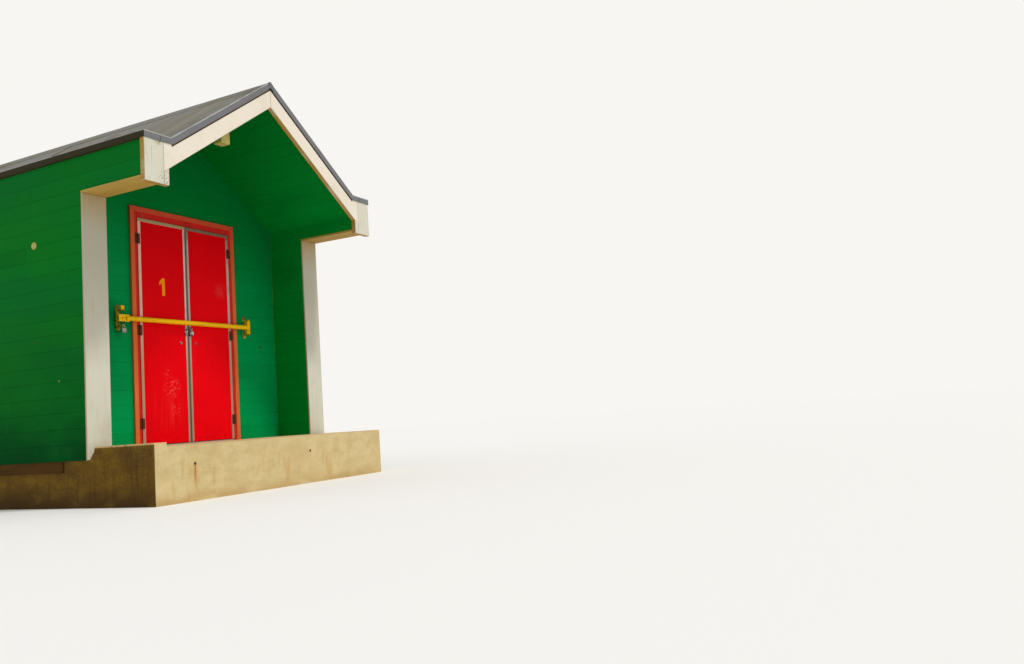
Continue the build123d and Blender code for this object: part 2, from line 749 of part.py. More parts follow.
def porch_light():
    """Square downlight hung from the left slope of the porch ceiling."""
    x0 = LIGHT_OUT - LIGHT_WIDTH / 2
    x1 = LIGHT_OUT + LIGHT_WIDTH / 2
    y0 = BARGE_BACK_Y + LIGHT_SETBACK
    y1 = y0 + LIGHT_DEPTH
    foot = slope_z(LIGHT_OUT, CEILING_BOTTOM) - LIGHT_DROP
    outline = [
        (x0, foot),
        (x1, foot),
        (x1, slope_z(x1, CEILING_BOTTOM)),
        (x0, slope_z(x0, CEILING_BOTTOM)),
    ]
    housing = across(outline, y0, y1)
    housing = chamfer(housing.faces().sort_by(Axis.Z)[0].edges(), LIGHT_CHAMFER)
    rim = LIGHT_RIM
    recess = block(x0 + rim, x1 - rim, y0 + rim, y1 - rim, foot - CUT, foot + LIGHT_RECESS)
    gap = LIGHT_RIM + LIGHT_LENS_BEVEL
    lens = block(x0 + gap, x1 - gap, y0 + gap, y1 - gap, foot, foot + LIGHT_RECESS + CUT)
    lens = chamfer(lens.faces().sort_by(Axis.Z)[0].edges(), LIGHT_LENS_BEVEL)
    return [mirrored(housing - recess + lens)]


def wall_cap():
    """Round cover on the left wall's outer face."""
    y = POST_Y + CAP_BACK
    face = Pos(-HALF_WIDTH, y, CAP_Z) * Rot(0, -90, 0) * RegularPolygon(CAP_R, CAP_SIDES)
    cap = extrude(face, CAP_T)
    return [chamfer(cap.faces().sort_by(Axis.X)[0].edges(), CAP_T / 2)]


PIECES = {
    "concrete_plinth": concrete_plinth(),
    "sole_beams": sole_beams(),
    "room_floor": room_floor(),
    "left_wall": [mirrored(side_wall())],
    "right_party_wall": [side_wall()],
    "back_wall": back_wall(),
    "front_wall_left": [mirrored(front_wall_side())],
    "front_wall_right": [front_wall_side()],
    "front_gable": front_gable(),
    "post_boards": post_boards(),
    "soffit_boards": soffit_boards(),
    "left_eaves_block": [mirrored(piece) for piece in eaves_block()],
    "right_eaves_block": eaves_block(),
    "left_bargeboard": [mirrored(bargeboard(REACH_Y, BARGE_BACK_Y, FOOT_BOARD_OUT))],
    "right_bargeboard": [bargeboard(REACH_Y, BARGE_BACK_Y, FOOT_BOARD_OUT)],
    "back_bargeboards": both(bargeboard(BACK_Y, ROOF_BACK_Y, HALF_WIDTH)),
    "verge_battens": verge_battens(),
    "left_porch_ceiling": [mirrored(porch_ceiling())],
    "right_porch_ceiling": [porch_ceiling()],
    "rafters": rafters(),
    "ridge_board": ridge_board(),
    "left_roof_deck": [mirrored(roof_deck())],
    "right_roof_deck": [roof_deck()],
    "roof_covering": roof_covering(),
    "front_roof_trim": gable_trim(REACH_Y - TRIM_T, REACH_Y, REACH_Y, REACH_Y + TRIM_LIP),
    "back_roof_trim": gable_trim(ROOF_BACK_Y, ROOF_BACK_Y + TRIM_T, ROOF_BACK_Y - TRIM_LIP, ROOF_BACK_Y),
    "side_roof_trims": side_roof_trims(),
    "side_fascias": side_fascias(),
    "door_frame": door_frame(),
    "architrave": architrave(),
    "threshold": threshold(),
    "left_leaf": [mirrored(leaf())],
    "right_leaf": [leaf()],
    "left_leaf_trim": [mirrored(piece) for piece in leaf_trim()],
    "right_leaf_trim": leaf_trim(),
    "frame_hinges": [piece for z in HINGE_ZS for piece in both(frame_hinge(z))],
    "left_leaf_fittings": [mirrored(piece) for piece in leaf_hinges() + [escutcheon(), hasp_plate()]],
    "right_leaf_fittings": leaf_hinges() + [escutcheon(), staple()],
    "leaf_padlock": [padlock(LEAF_IN + HASP_EDGE + HASP_WIDTH / 2, LEAF_LOCK_Y, RING_Z)],
    "locking_bar": locking_bar(),
    "left_bracket": left_bracket(),
    "right_bracket": right_bracket(),
    "bracket_padlock": [padlock(-KEEPER_X + CROWN, BAR_Y, BAR_Z - LUG_Z + RING_LIFT)],
    "porch_light": porch_light(),
    "wall_cap": wall_cap(),
}

for name, solids in PIECES.items():
    export_step(Compound(children=solids) if len(solids) > 1 else solids[0], f"parts/{name}.step")
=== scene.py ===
"""Dress a terrace beach hut: painted boards, felt roof, stained concrete, fittings and studio."""

import logging
import math
import random
from dataclasses import dataclass, replace
from enum import Enum
from functools import cache
from typing import Iterator, Sequence

import bmesh
import bpy
from mathutils import Matrix, Vector


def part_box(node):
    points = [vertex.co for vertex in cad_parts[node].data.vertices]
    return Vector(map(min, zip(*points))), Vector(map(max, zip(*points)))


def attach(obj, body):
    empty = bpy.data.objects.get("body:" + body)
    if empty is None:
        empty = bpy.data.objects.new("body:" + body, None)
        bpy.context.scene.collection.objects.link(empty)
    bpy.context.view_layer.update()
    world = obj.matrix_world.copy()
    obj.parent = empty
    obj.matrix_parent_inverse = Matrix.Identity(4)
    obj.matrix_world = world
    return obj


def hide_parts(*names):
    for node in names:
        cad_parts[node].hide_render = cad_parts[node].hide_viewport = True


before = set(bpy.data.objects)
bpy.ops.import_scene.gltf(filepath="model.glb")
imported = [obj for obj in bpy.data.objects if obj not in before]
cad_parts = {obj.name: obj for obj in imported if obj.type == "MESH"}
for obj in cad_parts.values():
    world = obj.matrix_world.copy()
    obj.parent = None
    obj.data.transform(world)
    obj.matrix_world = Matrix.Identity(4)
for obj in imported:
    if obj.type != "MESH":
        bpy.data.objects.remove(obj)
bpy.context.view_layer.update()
LOG = logging.getLogger("beach_hut")
MM = 0.001

Point = tuple[float, float]
Triple = tuple[float, float, float]
Outline = list[Point]
Colour = tuple[float, float, float, float]
Tree = bpy.types.NodeTree
Socket = bpy.types.NodeSocket


class Axis(Enum):
    """Direction in which an outline is pushed out into a solid."""

    X = 0
    Y = 1
    Z = 2


class Side(Enum):
    """Side of the hut as seen from the front."""

    LEFT = -1
    RIGHT = 1

    def named(self, part: str) -> str:
        """Return the name that a part has on this side."""
        return f"{self.name.lower()}_{part}"

    def span(self, near: float, far: float) -> list[float]:
        """Turn two distances from the middle into places along X, the lower one first."""
        return sorted((self.value * near, self.value * far))

    def mirror(self, outline: Outline) -> Outline:
        """Put an outline drawn for the right side on this side."""
        return [(self.value * a, b) for a, b in outline]


class Slot(Enum):
    """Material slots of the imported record."""

    GREEN = "green_boards"
    WHITE = "white_boards"
    RED = "red_paint"
    ORANGE = "orange_paint"
    BROWN = "brown_timber"
    RAW = "raw_timber"
    CONCRETE = "concrete"
    FELT = "felt"
    TRIM = "grey_trim"
    STRIP = "edge_strip"
    DARK = "dark_steel"
    YELLOW = "yellow_paint"
    BRACKET = "bracket_paint"
    BRIGHT = "bright_steel"
    CREAM = "cream_plastic"


def linear(hex_colour: str) -> Colour:
    """Turn an sRGB hex colour into linear RGBA.

    Args:
        hex_colour: Colour such as "#0B6A22".

    Returns:
        Red, green, blue and alpha as Blender's sockets take them.
    """
    parts = [int(hex_colour[i : i + 2], 16) / 255 for i in (1, 3, 5)]
    red, green, blue = (c / 12.92 if c <= 0.04045 else ((c + 0.055) / 1.055) ** 2.4 for c in parts)
    return (red, green, blue, 1.0)


def add_node(
    tree: Tree, kind: str, settings: dict | None = None, links: dict | None = None
) -> bpy.types.Node:
    """Add a node, give it its settings and link its inputs.

    Args:
        tree: Node tree that takes the node.
        kind: Blender's name for the node's type.
        settings: Values by the name of a property, or by the name or number of an input.
        links: Output sockets by the name or number of the input that they feed.

    Returns:
        The new node.
    """
    node = tree.nodes.new(kind)
    for name, value in (settings or {}).items():
        if isinstance(name, int) or name in node.inputs:
            node.inputs[name].default_value = value
        else:
            setattr(node, name, value)
    for name, socket in (links or {}).items():
        tree.links.new(socket, node.inputs[name])
    return node


def limited(tree: Tree, mask: Socket, value: Socket, start: float, end: float) -> Socket:
    """Let a mask come in between two values of another output.

    Args:
        tree: Node tree of the mask.
        mask: The mask.
        value: Output that it is limited by.
        start: Value at which nothing of the mask is left.
        end: Value at which all of it is there.

    Returns:
        The limited mask.
    """
    share = add_node(tree, "ShaderNodeMapRange", {"From Min": start, "From Max": end}, {"Value": value})
    both = add_node(tree, "ShaderNodeMath", {"operation": "MULTIPLY"}, {0: mask, 1: share.outputs["Result"]})
    return both.outputs["Value"]


@dataclass(frozen=True)
class Mark:
    """Mark that the mesh's faces carry, laid over a finish as a plain colour.

    Args:
        name: Name of the mark.
        colour: Colour where the mark is 1, or None where the finish doesn't show it.
        roughness: None, as the mark leaves the gloss alone.
        relief_mm: 0, as the mark leaves the relief alone.
    """

    name: str
    colour: str | None
    roughness: float | None = None
    relief_mm: float = 0.0

    def mask(self, tree: Tree, place: Socket) -> Socket:
        """Return the mark's own value, wherever the point lies."""
        return add_node(tree, "ShaderNodeAttribute", {"attribute_name": self.name}).outputs["Fac"]


@dataclass(frozen=True)
class Layer:
    """One cloudy pattern laid over a finish, and what it does to the colour, gloss and relief.

    Args:
        size_mm: Size of one feature along X, Y and Z.
        reach: Pattern values at which the layer starts and at which it is full.
        colour: Colour that the layer brings, or None for relief alone.
        strength: Share of the layer at its fullest.
        roughness: Roughness that the layer brings, or None to keep the finish's.
        relief_mm: Height of the layer at its fullest.
        fades: Axes, each with the two places in metres between which the layer comes in.
        spot: Middle and radius in metres of the place that it keeps to, full within a third of the radius.
        turn_deg: Turn of the pattern about Y, for sloping felt.
        detail: Finer octaves of the pattern.
    """

    size_mm: Triple
    reach: Point
    colour: str | None = None
    strength: float = 1.0
    roughness: float | None = None
    relief_mm: float = 0.0
    fades: tuple[tuple[Axis, float, float], ...] = ()
    spot: tuple[float, float, float, float] | None = None
    turn_deg: float = 0.0
    detail: float = 3.0

    def mask(self, tree: Tree, place: Socket) -> Socket:
        """Build the nodes that say how much of the layer lies at a point.

        Args:
            tree: The material's node tree.
            place: Output with the point in the hut's frame, in metres.

        Returns:
            Output from 0 to strength.
        """
        scale = tuple(size * MM for size in self.size_mm)
        turn = (0.0, math.radians(self.turn_deg), 0.0)
        stretch = {"vector_type": "TEXTURE", "Rotation": turn, "Scale": scale}
        stretched = add_node(tree, "ShaderNodeMapping", stretch, {"Vector": place}).outputs["Vector"]
        grain = {"Scale": 1.0, "Detail": self.detail}
        clouds = add_node(tree, "ShaderNodeTexNoise", grain, {"Vector": stretched}).outputs["Fac"]
        ramp = {
            "interpolation_type": "SMOOTHSTEP",
            "From Min": self.reach[0],
            "From Max": self.reach[1],
            "To Max": self.strength,
        }
        mask = add_node(tree, "ShaderNodeMapRange", ramp, {"Value": clouds}).outputs["Result"]
        parts = add_node(tree, "ShaderNodeSeparateXYZ", None, {"Vector": place})
        for axis, start, end in self.fades:
            mask = limited(tree, mask, parts.outputs[axis.value], start, end)
        if self.spot is not None:
            *middle, radius = self.spot
            away = add_node(tree, "ShaderNodeVectorMath", {"operation": "DISTANCE", 1: middle}, {0: place})
            mask = limited(tree, mask, away.outputs["Value"], radius, radius / 3)
        return mask


@dataclass(frozen=True)
class Finish:
    """A surface finish: its plain values, the tones of its pieces and the layers over it.

    Args:
        name: The material's name.
        slot: Slot of the record that it stands for; not used.
        colour: Main colour.
        roughness: Roughness where no layer changes it.
        tone_colour: Colour of a piece whose tone is 1.
        edge_colour: Colour of the edges that the mesh marks as worn, and of the faces that carry its painted
            light mark.
        metallic: 1 for bare metal.
        ior: Refractive index of the paint or plastic, or None for a metal.
        sheen: Share of the index's mirror reflection that a chalked or dusty film still gives.
        layers: Patterns over the finish, the first one lowest.
    """

    name: str
    slot: Slot
    colour: str
    roughness: float
    tone_colour: str | None = None
    edge_colour: str | None = None
    metallic: float = 0.0
    ior: float | None = 1.5
    sheen: float = 1.0
    layers: tuple[Layer, ...] = ()

    @cache
    def material(self) -> bpy.types.Material:
        """Build the material from the plain values, the marks and the layers.

        Returns:
            The material, the same one at every call.
        """
        material = bpy.data.materials.new(self.name)
        material.use_nodes = True
        tree = material.node_tree
        tree.nodes.clear()
        place = add_node(tree, "ShaderNodeTexCoord").outputs["Object"]
        shader = add_node(tree, "ShaderNodeBsdfPrincipled", self.plain_values())
        # Each holds the link by which the next mix takes over what lies below it.
        colour: dict[int, Socket] = {}
        gloss: dict[int, Socket] = {}
        height: dict[int, Socket] = {}
        for layer in self.marks() + self.layers:
            mask = layer.mask(tree, place)
            if layer.colour is not None:
                values = {"data_type": "RGBA", 6: linear(self.colour), 7: linear(layer.colour)}
                mix = add_node(tree, "ShaderNodeMix", values, {0: mask} | colour)
                colour = {6: mix.outputs[2]}
            if layer.roughness is not None:
                values = {2: self.roughness, 3: layer.roughness}
                mix = add_node(tree, "ShaderNodeMix", values, {0: mask} | gloss)
                gloss = {2: mix.outputs[0]}
            if layer.relief_mm:
                values = {"operation": "MULTIPLY_ADD", 1: layer.relief_mm * MM, 2: 0.0}
                total = add_node(tree, "ShaderNodeMath", values, {0: mask} | height)
                height = {2: total.outputs["Value"]}
        if colour:
            tree.links.new(colour[6], shader.inputs["Base Color"])
        if gloss:
            tree.links.new(gloss[2], shader.inputs["Roughness"])
        if height:
            bump = add_node(tree, "ShaderNodeBump", {"Distance": 1.0}, {"Height": height[2]})
            tree.links.new(bump.outputs["Normal"], shader.inputs["Normal"])
        add_node(tree, "ShaderNodeOutputMaterial", None, {"Surface": shader.outputs["BSDF"]})
        return material

    def plain_values(self) -> dict:
        """Gather what is the same all over.

        Returns:
            Values by the names of the shader's own sockets.
        """
        values = {"Base Color": linear(self.colour), "Roughness": self.roughness, "Metallic": self.metallic}
        if self.ior is not None:
            values |= {"IOR": self.ior, "Specular IOR Level": self.sheen / 2}
        return values

    def marks(self) -> tuple[Mark, ...]:
        """Return the marks of the mesh that the finish shows, lowest first."""
        marks = (Mark("tone", self.tone_colour), Mark("edge", self.edge_colour))
        return tuple(mark for mark in marks if mark.colour is not None)


BOARD_GRAIN = Layer((240, 240, 5), (0.42, 0.62), relief_mm=0.25, detail=4)

# Exterior satin paint brushed on planed softwood boards: the grain stands a little, the film has
# chalked in the sun and shows yellower patches, pale runs and a dark bloom near the ground.
GREEN_SIDE = Finish(
    "satin_green_paint_on_side_boards", Slot.GREEN, "#007422", 0.55,
    tone_colour="#006A1E", edge_colour="#015C1A", sheen=0.05,
    layers=(
        BOARD_GRAIN,
        Layer((900, 900, 420), (0.44, 0.68), "#026A28", 0.7),
        Layer((1700, 1700, 700), (0.48, 0.66), "#0C7414", 0.5),
        Layer((26, 26, 420), (0.58, 0.75), "#067A2C", 0.3, 0.7),
        Layer((60, 60, 14), (0.64, 0.76), "#025A14", 0.5),
        Layer((500, 500, 300), (0.05, 0.7), "#005418", 0.85, fades=((Axis.Z, 1.6, 0.6),)),
        Layer((300, 300, 160), (0.0, 0.7), "#003C18", 0.85, 0.7, fades=((Axis.Z, 0.8, 0.36),)),
    ),
)

# The same paint in the porch's shelter, in a brighter, cooler copy than on the sides: painted light of the
# sky falling into the porch from the front.
GREEN_PORCH = Finish(
    "satin_green_paint_on_porch_boards", Slot.GREEN, "#009E54", 0.5,
    tone_colour="#009A50", edge_colour="#008848", sheen=0.05,
    layers=(
        BOARD_GRAIN,
        Layer((800, 800, 500), (0.42, 0.7), "#008A48", 0.6),
        Layer((30, 30, 700), (0.56, 0.75), "#14A05C", 0.25, 0.6),
        Layer((90, 90, 30), (0.64, 0.76), "#067A40", 0.4),
        # Painted shade: the door wall darkens towards the top under the porch roof, more so right of x = -0.5
        # m.
        Layer((600, 600, 600), (0.0, 0.3), "#007C34", 0.8, fades=((Axis.Z, 1.9, 2.7),)),
        Layer(
            (600, 600, 600),
            (0.0, 0.3),
            "#00702A",
            0.75,
            fades=((Axis.Z, 1.2, 2.4), (Axis.X, -1.0, -0.5)),
        ),
        # Painted shadow of the left bracket on the wall beside it.
        Layer((60, 60, 300), (0.3, 0.6), "#004E28", 0.75, spot=(-0.77, -0.821, 1.5, 0.2)),
    ),
)

# The same paint on the ceiling and on the porch's sides, in its own copy of the colour set for the porch's
# light, with painted shade deepening towards the ridge.
GREEN_CEILING = Finish(
    "satin_green_paint_on_ceiling_boards", Slot.GREEN, "#008A30", 0.5,
    tone_colour="#00862E", edge_colour="#007A2A", sheen=0.05,
    layers=(
        Layer((6, 260, 6), (0.42, 0.62), relief_mm=0.25, detail=4),
        Layer((500, 900, 500), (0.42, 0.7), "#007228", 0.6),
        Layer((60, 300, 60), (0.6, 0.76), "#0A8A34", 0.3, 0.6),
        # Painted shade: darker towards the ridge.
        Layer((600, 900, 600), (0.0, 0.3), "#007426", 0.8, fades=((Axis.Z, 2.6, 3.1),)),
    ),
)

# Off-white exterior paint on saw-cut softwood trim: warm, its side faces, undersides and partly its arrises
# painted tan as the sand's reflected glow, with grey runs and dirt in the fine cracks along the grain.
WHITE_TRIM = Finish(
    "cream_white_paint_on_trim_boards", Slot.WHITE, "#EEE4D2", 0.55,
    tone_colour="#D8D5C2", edge_colour="#AC8438", sheen=0.3,
    layers=(
        Layer((260, 260, 260), (0.45, 0.7), "#E2D6BE", 0.45),
        Layer((90, 60, 14), (0.45, 0.65), relief_mm=0.2, detail=4),
        Layer((10, 60, 300), (0.6, 0.72), "#A69E84", 0.5, 0.7, -0.3, fades=((Axis.Z, 2.72, 2.6),)),
        Layer((5, 5, 60), (0.69, 0.74), "#5E543C", 0.75, 0.75, -0.4, fades=((Axis.Z, 2.72, 2.6),)),
        Layer((7, 7, 14), (0.55, 0.62), "#6A6046", 0.8, spot=(-1.17, -1.93, 2.4, 0.1)),
        Layer((16, 16, 26), (0.42, 0.6), "#7A6C3C", 0.75, 0.75, spot=(-1.225, -1.93, 2.685, 0.07)),
        Layer((9, 9, 9), (0.7, 0.76), "#8A7650", 0.7, 0.75, -0.3),
    ),
)

# The same paint on the bargeboards, smoother and cleaner than on the blocks.
WHITE_BARGE = replace(
    WHITE_TRIM,
    # Edge colour: the sand's reflected glow painted tan on the bargeboards' undersides, tops and plumb cuts.
    name="cream_white_paint_on_bargeboards", edge_colour="#B49248",
    layers=(
        Layer((300, 300, 300), (0.42, 0.72), "#E0D6C0", 0.5),
        Layer((160, 60, 160), (0.45, 0.65), relief_mm=0.2, detail=4),
        Layer((40, 40, 14), (0.6, 0.75), "#C8BCA0", 0.4, 0.65),
        Layer((8, 8, 8), (0.7, 0.76), "#8A7650", 0.7, 0.75, -0.3),
    ),
)

# The same paint on the posts, rubbed and a little greyer, with painted shade over their upper part and a
# painted tan glow under the soffit and on their side faces.
WHITE_POST = Finish(
    "cream_white_paint_on_post_boards", Slot.WHITE, "#D6D4C2", 0.55,
    tone_colour="#D0CDBA", edge_colour="#AE8E62", sheen=0.3,
    layers=(
        Layer((200, 200, 400), (0.45, 0.7), "#C6C2B2", 0.55),
        # Painted shade from the overhang over the upper part, then a painted tan glow just under the soffit.
        Layer((300, 300, 600), (0.0, 0.4), "#B6B19C", 0.85, fades=((Axis.Z, 1.0, 1.9),)),
        Layer((200, 200, 200), (0.0, 0.4), "#AE9458", 0.7, fades=((Axis.Z, 2.1, 2.37),)),
        Layer((5, 40, 220), (0.45, 0.65), relief_mm=0.25, detail=4),
        Layer((14, 40, 420), (0.54, 0.72), "#BEB69E", 0.5, 0.65),
        Layer((9, 9, 12), (0.71, 0.77), "#6A5E44", 0.8, 0.75, -0.2),
        Layer((60, 60, 60), (0.35, 0.7), "#A89A7C", 0.6, 0.7, fades=((Axis.Z, 0.5, 0.36),)),
    ),
)

# Cream paint on the soffit boards, painted tan all over as the warm glow that the sand reflects up into them.
TAN_SOFFIT = Finish(
    "yellowed_paint_on_soffit_boards", Slot.WHITE, "#BC9E50", 0.65,
    tone_colour="#B09044", edge_colour="#987438", sheen=0.2,
    layers=(
        Layer((180, 400, 180), (0.42, 0.68), "#AC8C4A", 0.6),
        Layer((8, 220, 8), (0.45, 0.65), "#A28242", 0.4, relief_mm=0.3, detail=4),
        Layer((12, 30, 12), (0.68, 0.76), "#846430", 0.7),
    ),
)

# Gloss red door paint rolled on exterior ply: nearly flat, with faint upright roller lines, scuffs
# from hands and feet low on the left leaf and a darker top under the head, painted as the porch roof's shade.
OUTER_FACE = (Axis.Y, -0.826, -0.832)
SCUFFS = (
    ((22, 22, 14), (0.56, 0.72), "#FF7468", 0.55, (-0.25, -0.835, 1.05, 0.07)),
    ((26, 26, 15), (0.52, 0.66), "#FF7468", 0.55, (-0.2, -0.835, 0.92, 0.11)),
    ((20, 20, 12), (0.54, 0.7), "#FF6A60", 0.55, (-0.165, -0.835, 0.725, 0.07)),
    ((26, 26, 500), (0.4, 0.7), "#FF4038", 0.3, (-0.25, -0.835, 0.72, 0.22)),
    ((20, 20, 90), (0.35, 0.55), "#F04A48", 0.35, (0.407, -0.835, 1.84, 0.09)),
)
RED_DOOR = Finish(
    "gloss_red_paint_on_door_leaves", Slot.RED, "#FA0010", 0.45,
    tone_colour="#F2000E", edge_colour="#B0000C", sheen=0.06,
    layers=(
        Layer((30, 30, 900), (0.5, 0.75), "#FF0C1C", 0.3, 0.5),
        Layer((20, 20, 700), (0.52, 0.7), "#E6000C", 0.35),
        Layer((14, 14, 160), (0.35, 0.7), relief_mm=0.05),
        Layer((400, 400, 500), (0.45, 0.7), "#EC000C", 0.5),
        # Painted shade: darker towards the top under the porch roof.
        Layer((400, 400, 900), (0.0, 0.3), "#D8000C", 0.75, fades=((Axis.Z, 1.6, 2.35),)),
        *(Layer(*scuff, 0.6, fades=(OUTER_FACE,), spot=spot) for *scuff, spot in SCUFFS),
        Layer((60, 60, 40), (0.5, 0.7), "#B8000C", 0.5, 0.6, fades=((Axis.Z, 0.56, 0.43),)),
    ),
)

# Red-brown paint on the frame's jambs and head, in shade and dustier than the leaves.
RED_FRAME = Finish(
    "red_brown_paint_on_door_frame", Slot.ORANGE, "#D8241E", 0.55,
    tone_colour="#B01410", edge_colour="#6A0808", sheen=0.2,
    layers=(
        Layer((20, 20, 300), (0.5, 0.7), "#C83824", 0.6),
        Layer((5, 5, 160), (0.45, 0.65), relief_mm=0.2),
        Layer((90, 90, 160), (0.55, 0.72), "#A81410", 0.6),
    ),
)

# Faded orange-brown paint on the architrave: the red has bleached out of the film.
ORANGE_ARCHITRAVE = Finish(
    "faded_orange_paint_on_architrave", Slot.ORANGE, "#E4703A", 0.6,
    tone_colour="#DA6230", edge_colour="#B04E22", sheen=0.2,
    layers=(
        Layer((24, 24, 260), (0.48, 0.7), "#EC8048", 0.5),
        Layer((5, 5, 160), (0.45, 0.65), relief_mm=0.2),
        # Painted shade: darker towards the top under the porch roof.
        Layer((300, 300, 300), (0.0, 0.3), "#C8402C", 0.75, fades=((Axis.Z, 1.6, 2.45),)),
        Layer((30, 30, 30), (0.66, 0.74), "#8A3C1C", 0.6),
    ),
)

# Dark stained softwood of battens, soles and fascias: open grain that the stain leaves streaky.
BROWN_STAIN = Finish(
    "dark_stained_softwood", Slot.BROWN, "#4C3616", 0.7,
    tone_colour="#422C12", edge_colour="#2C1C0C", sheen=0.06,
    layers=(
        Layer((70, 260, 6), (0.42, 0.62), "#3C2C12", 0.6, relief_mm=0.4, detail=5),
        Layer((300, 600, 90), (0.45, 0.7), "#5A3C1E", 0.6, 0.8),
        Layer((20, 40, 20), (0.66, 0.75), "#2C1A0C", 0.6),
    ),
)

# The same stain on the strips under the roof's edge, painted greenish black as the deep shade under the
# trims.
FASCIA_STAIN = replace(
    BROWN_STAIN,
    name="stain_with_painted_shade_on_fascias", colour="#283014", tone_colour="#222A10",
    edge_colour="#181C0C", sheen=0.05,
    layers=(
        Layer((70, 260, 6), (0.42, 0.62), "#1C220E", 0.6, relief_mm=0.4, detail=5),
        Layer((300, 500, 90), (0.45, 0.7), "#34381A", 0.6, 0.8),
    ),
)

# Sawn softwood of the roof frame, lining and floor inside: pale, furry from the saw, knotty.
RAW_SOFTWOOD = Finish(
    "sawn_softwood", Slot.RAW, "#C8A070", 0.75,
    tone_colour="#B48A58", edge_colour="#8A6840", sheen=0.5,
    layers=(
        Layer((160, 260, 7), (0.42, 0.62), "#A87C4C", 0.5, relief_mm=0.4, detail=5),
        Layer((34, 60, 22), (0.7, 0.76), "#6E4824", 0.8, 0.6),
        Layer((700, 700, 400), (0.45, 0.7), "#D2B080", 0.5),
    ),
)

# Worn deck paint on the room's floorboards: grey-brown with sand trodden into the grain.
FLOOR_BOARDS = Finish(
    "worn_floor_boards", Slot.RAW, "#A08058", 0.7,
    tone_colour="#8E6E48", edge_colour="#4E3A22", sheen=0.5,
    layers=(
        Layer((7, 320, 40), (0.42, 0.62), "#846440", 0.5, relief_mm=0.4, detail=5),
        Layer((300, 300, 300), (0.5, 0.7), "#C4A878", 0.5, 0.85),
    ),
)

# Concrete cast against boards: sandy face with form marks and blowholes; the side away from the light is
# painted brown as its shade, with ochre arcs, dark runs and a dark band where it stands on the ground.
CONCRETE_SIDE = (Axis.X, -1.3400, -1.3455)
CONCRETE_FRONT = (Axis.Y, -1.90, -1.93)
TIE_HOLES = ((-0.98, -1.931, 0.275, 0.017), (0.31, -1.931, 0.28, 0.017))
SIDE_SHADE_AND_STAINS = (
    # Painted shade: the whole side face darkened brown, as it lies away from the light; the rest are stains.
    ((500, 500, 500), (0.0, 0.05), "#684C18", 1.0),
    ((130, 200, 80), (0.44, 0.66), "#82661A", 0.5),
    ((200, 500, 240), (0.44, 0.66), "#4E381A", 0.65),
    ((200, 34, 300), (0.5, 0.74), "#463012", 0.5),
    ((11, 11, 11), (0.56, 0.7), "#9A7A24", 0.5),
    ((20, 20, 16), (0.6, 0.72), "#3E2C10", 0.4),
)
CONCRETE = Finish(
    "board_cast_concrete", Slot.CONCRETE, "#DAC592", 0.88,
    sheen=0.25,
    layers=(
        Layer((420, 420, 300), (0.4, 0.7), "#C8AE78", 0.6),
        Layer((110, 110, 70), (0.4, 0.75), "#C2A872", 0.5),
        Layer((22, 22, 22), (0.46, 0.8), "#BCA26A", 0.3),
        Layer((4, 4, 4), (0.4, 0.75), "#B89E68", 0.3, relief_mm=0.5, detail=5),
        Layer((90, 90, 420), (0.54, 0.7), "#C4964C", 0.5, fades=((Axis.Z, 0.36, 0.2),)),
        Layer((300, 300, 90), (0.3, 0.6), "#B08C4C", 0.6, fades=((Axis.Z, 0.10, 0.0),)),
        Layer(
            (14, 14, 160),
            (0.2, 0.5),
            "#A87028",
            0.8,
            fades=(
                CONCRETE_FRONT,
                (Axis.Z, 0.276, 0.26),
                (Axis.Z, 0.06, 0.2),
                (Axis.X, -0.993, -0.983),
                (Axis.X, -0.967, -0.977),
            ),
        ),
        *(Layer((90, 90, 90), (0.0, 0.01), "#1C120A", spot=hole) for hole in TIE_HOLES),
        *(Layer(*stain, fades=(CONCRETE_SIDE,)) for stain in SIDE_SHADE_AND_STAINS),
        Layer(
            (260, 260, 160),
            (0.2, 0.5),
            "#3E2C12",
            0.85,
            0.8,
            fades=(CONCRETE_SIDE, (Axis.Z, 0.2, 0.02)),
        ),
        # Painted highlight: a lighter band along the top arris, where the edge catches the light.
        Layer((60, 60, 60), (0.25, 0.5), "#DDB880", 0.85, fades=((Axis.Z, 0.434, 0.442),)),
    ),
)

# Mineral felt, torched down in strips: brown-grey grit that rain has washed into rusty runs.
PITCH_DEG = 35.6
RIDGE_FADE = 0.01
STREAKS = (
    ((1500, 190, 400), (0.4, 0.78), "#7A6642", 0.75),
    ((1100, 90, 300), (0.48, 0.74), "#94928A", 0.4),
)
FELT_STREAKS = tuple(
    Layer(
        *streak,
        fades=((Axis.X, -RIDGE_FADE * side.value, RIDGE_FADE * side.value),),
        turn_deg=PITCH_DEG * side.value,
    )
    for side in Side
    for streak in STREAKS
)
ROOF_FELT = Finish(
    "weathered_mineral_felt", Slot.FELT, "#86847A", 0.9,
    tone_colour="#7E7D76", edge_colour="#48443E", sheen=0.2,
    layers=(
        Layer((5, 5, 5), (0.35, 0.7), "#646054", 0.45, relief_mm=0.6, detail=4),
        *FELT_STREAKS,
        Layer((400, 500, 400), (0.5, 0.72), "#625E54", 0.5),
        Layer((300, 200, 300), (0.35, 0.7), relief_mm=2.0),
        Layer((900, 900, 900), (0.44, 0.66), "#86888A", 0.5),
        Layer(
            (160, 60, 160),
            (0.1, 0.6),
            "#48443C",
            0.7,
            0.7,
            fades=((Axis.Y, 0.487, 0.500), (Axis.Y, 0.518, 0.508)),
        ),
    ),
)

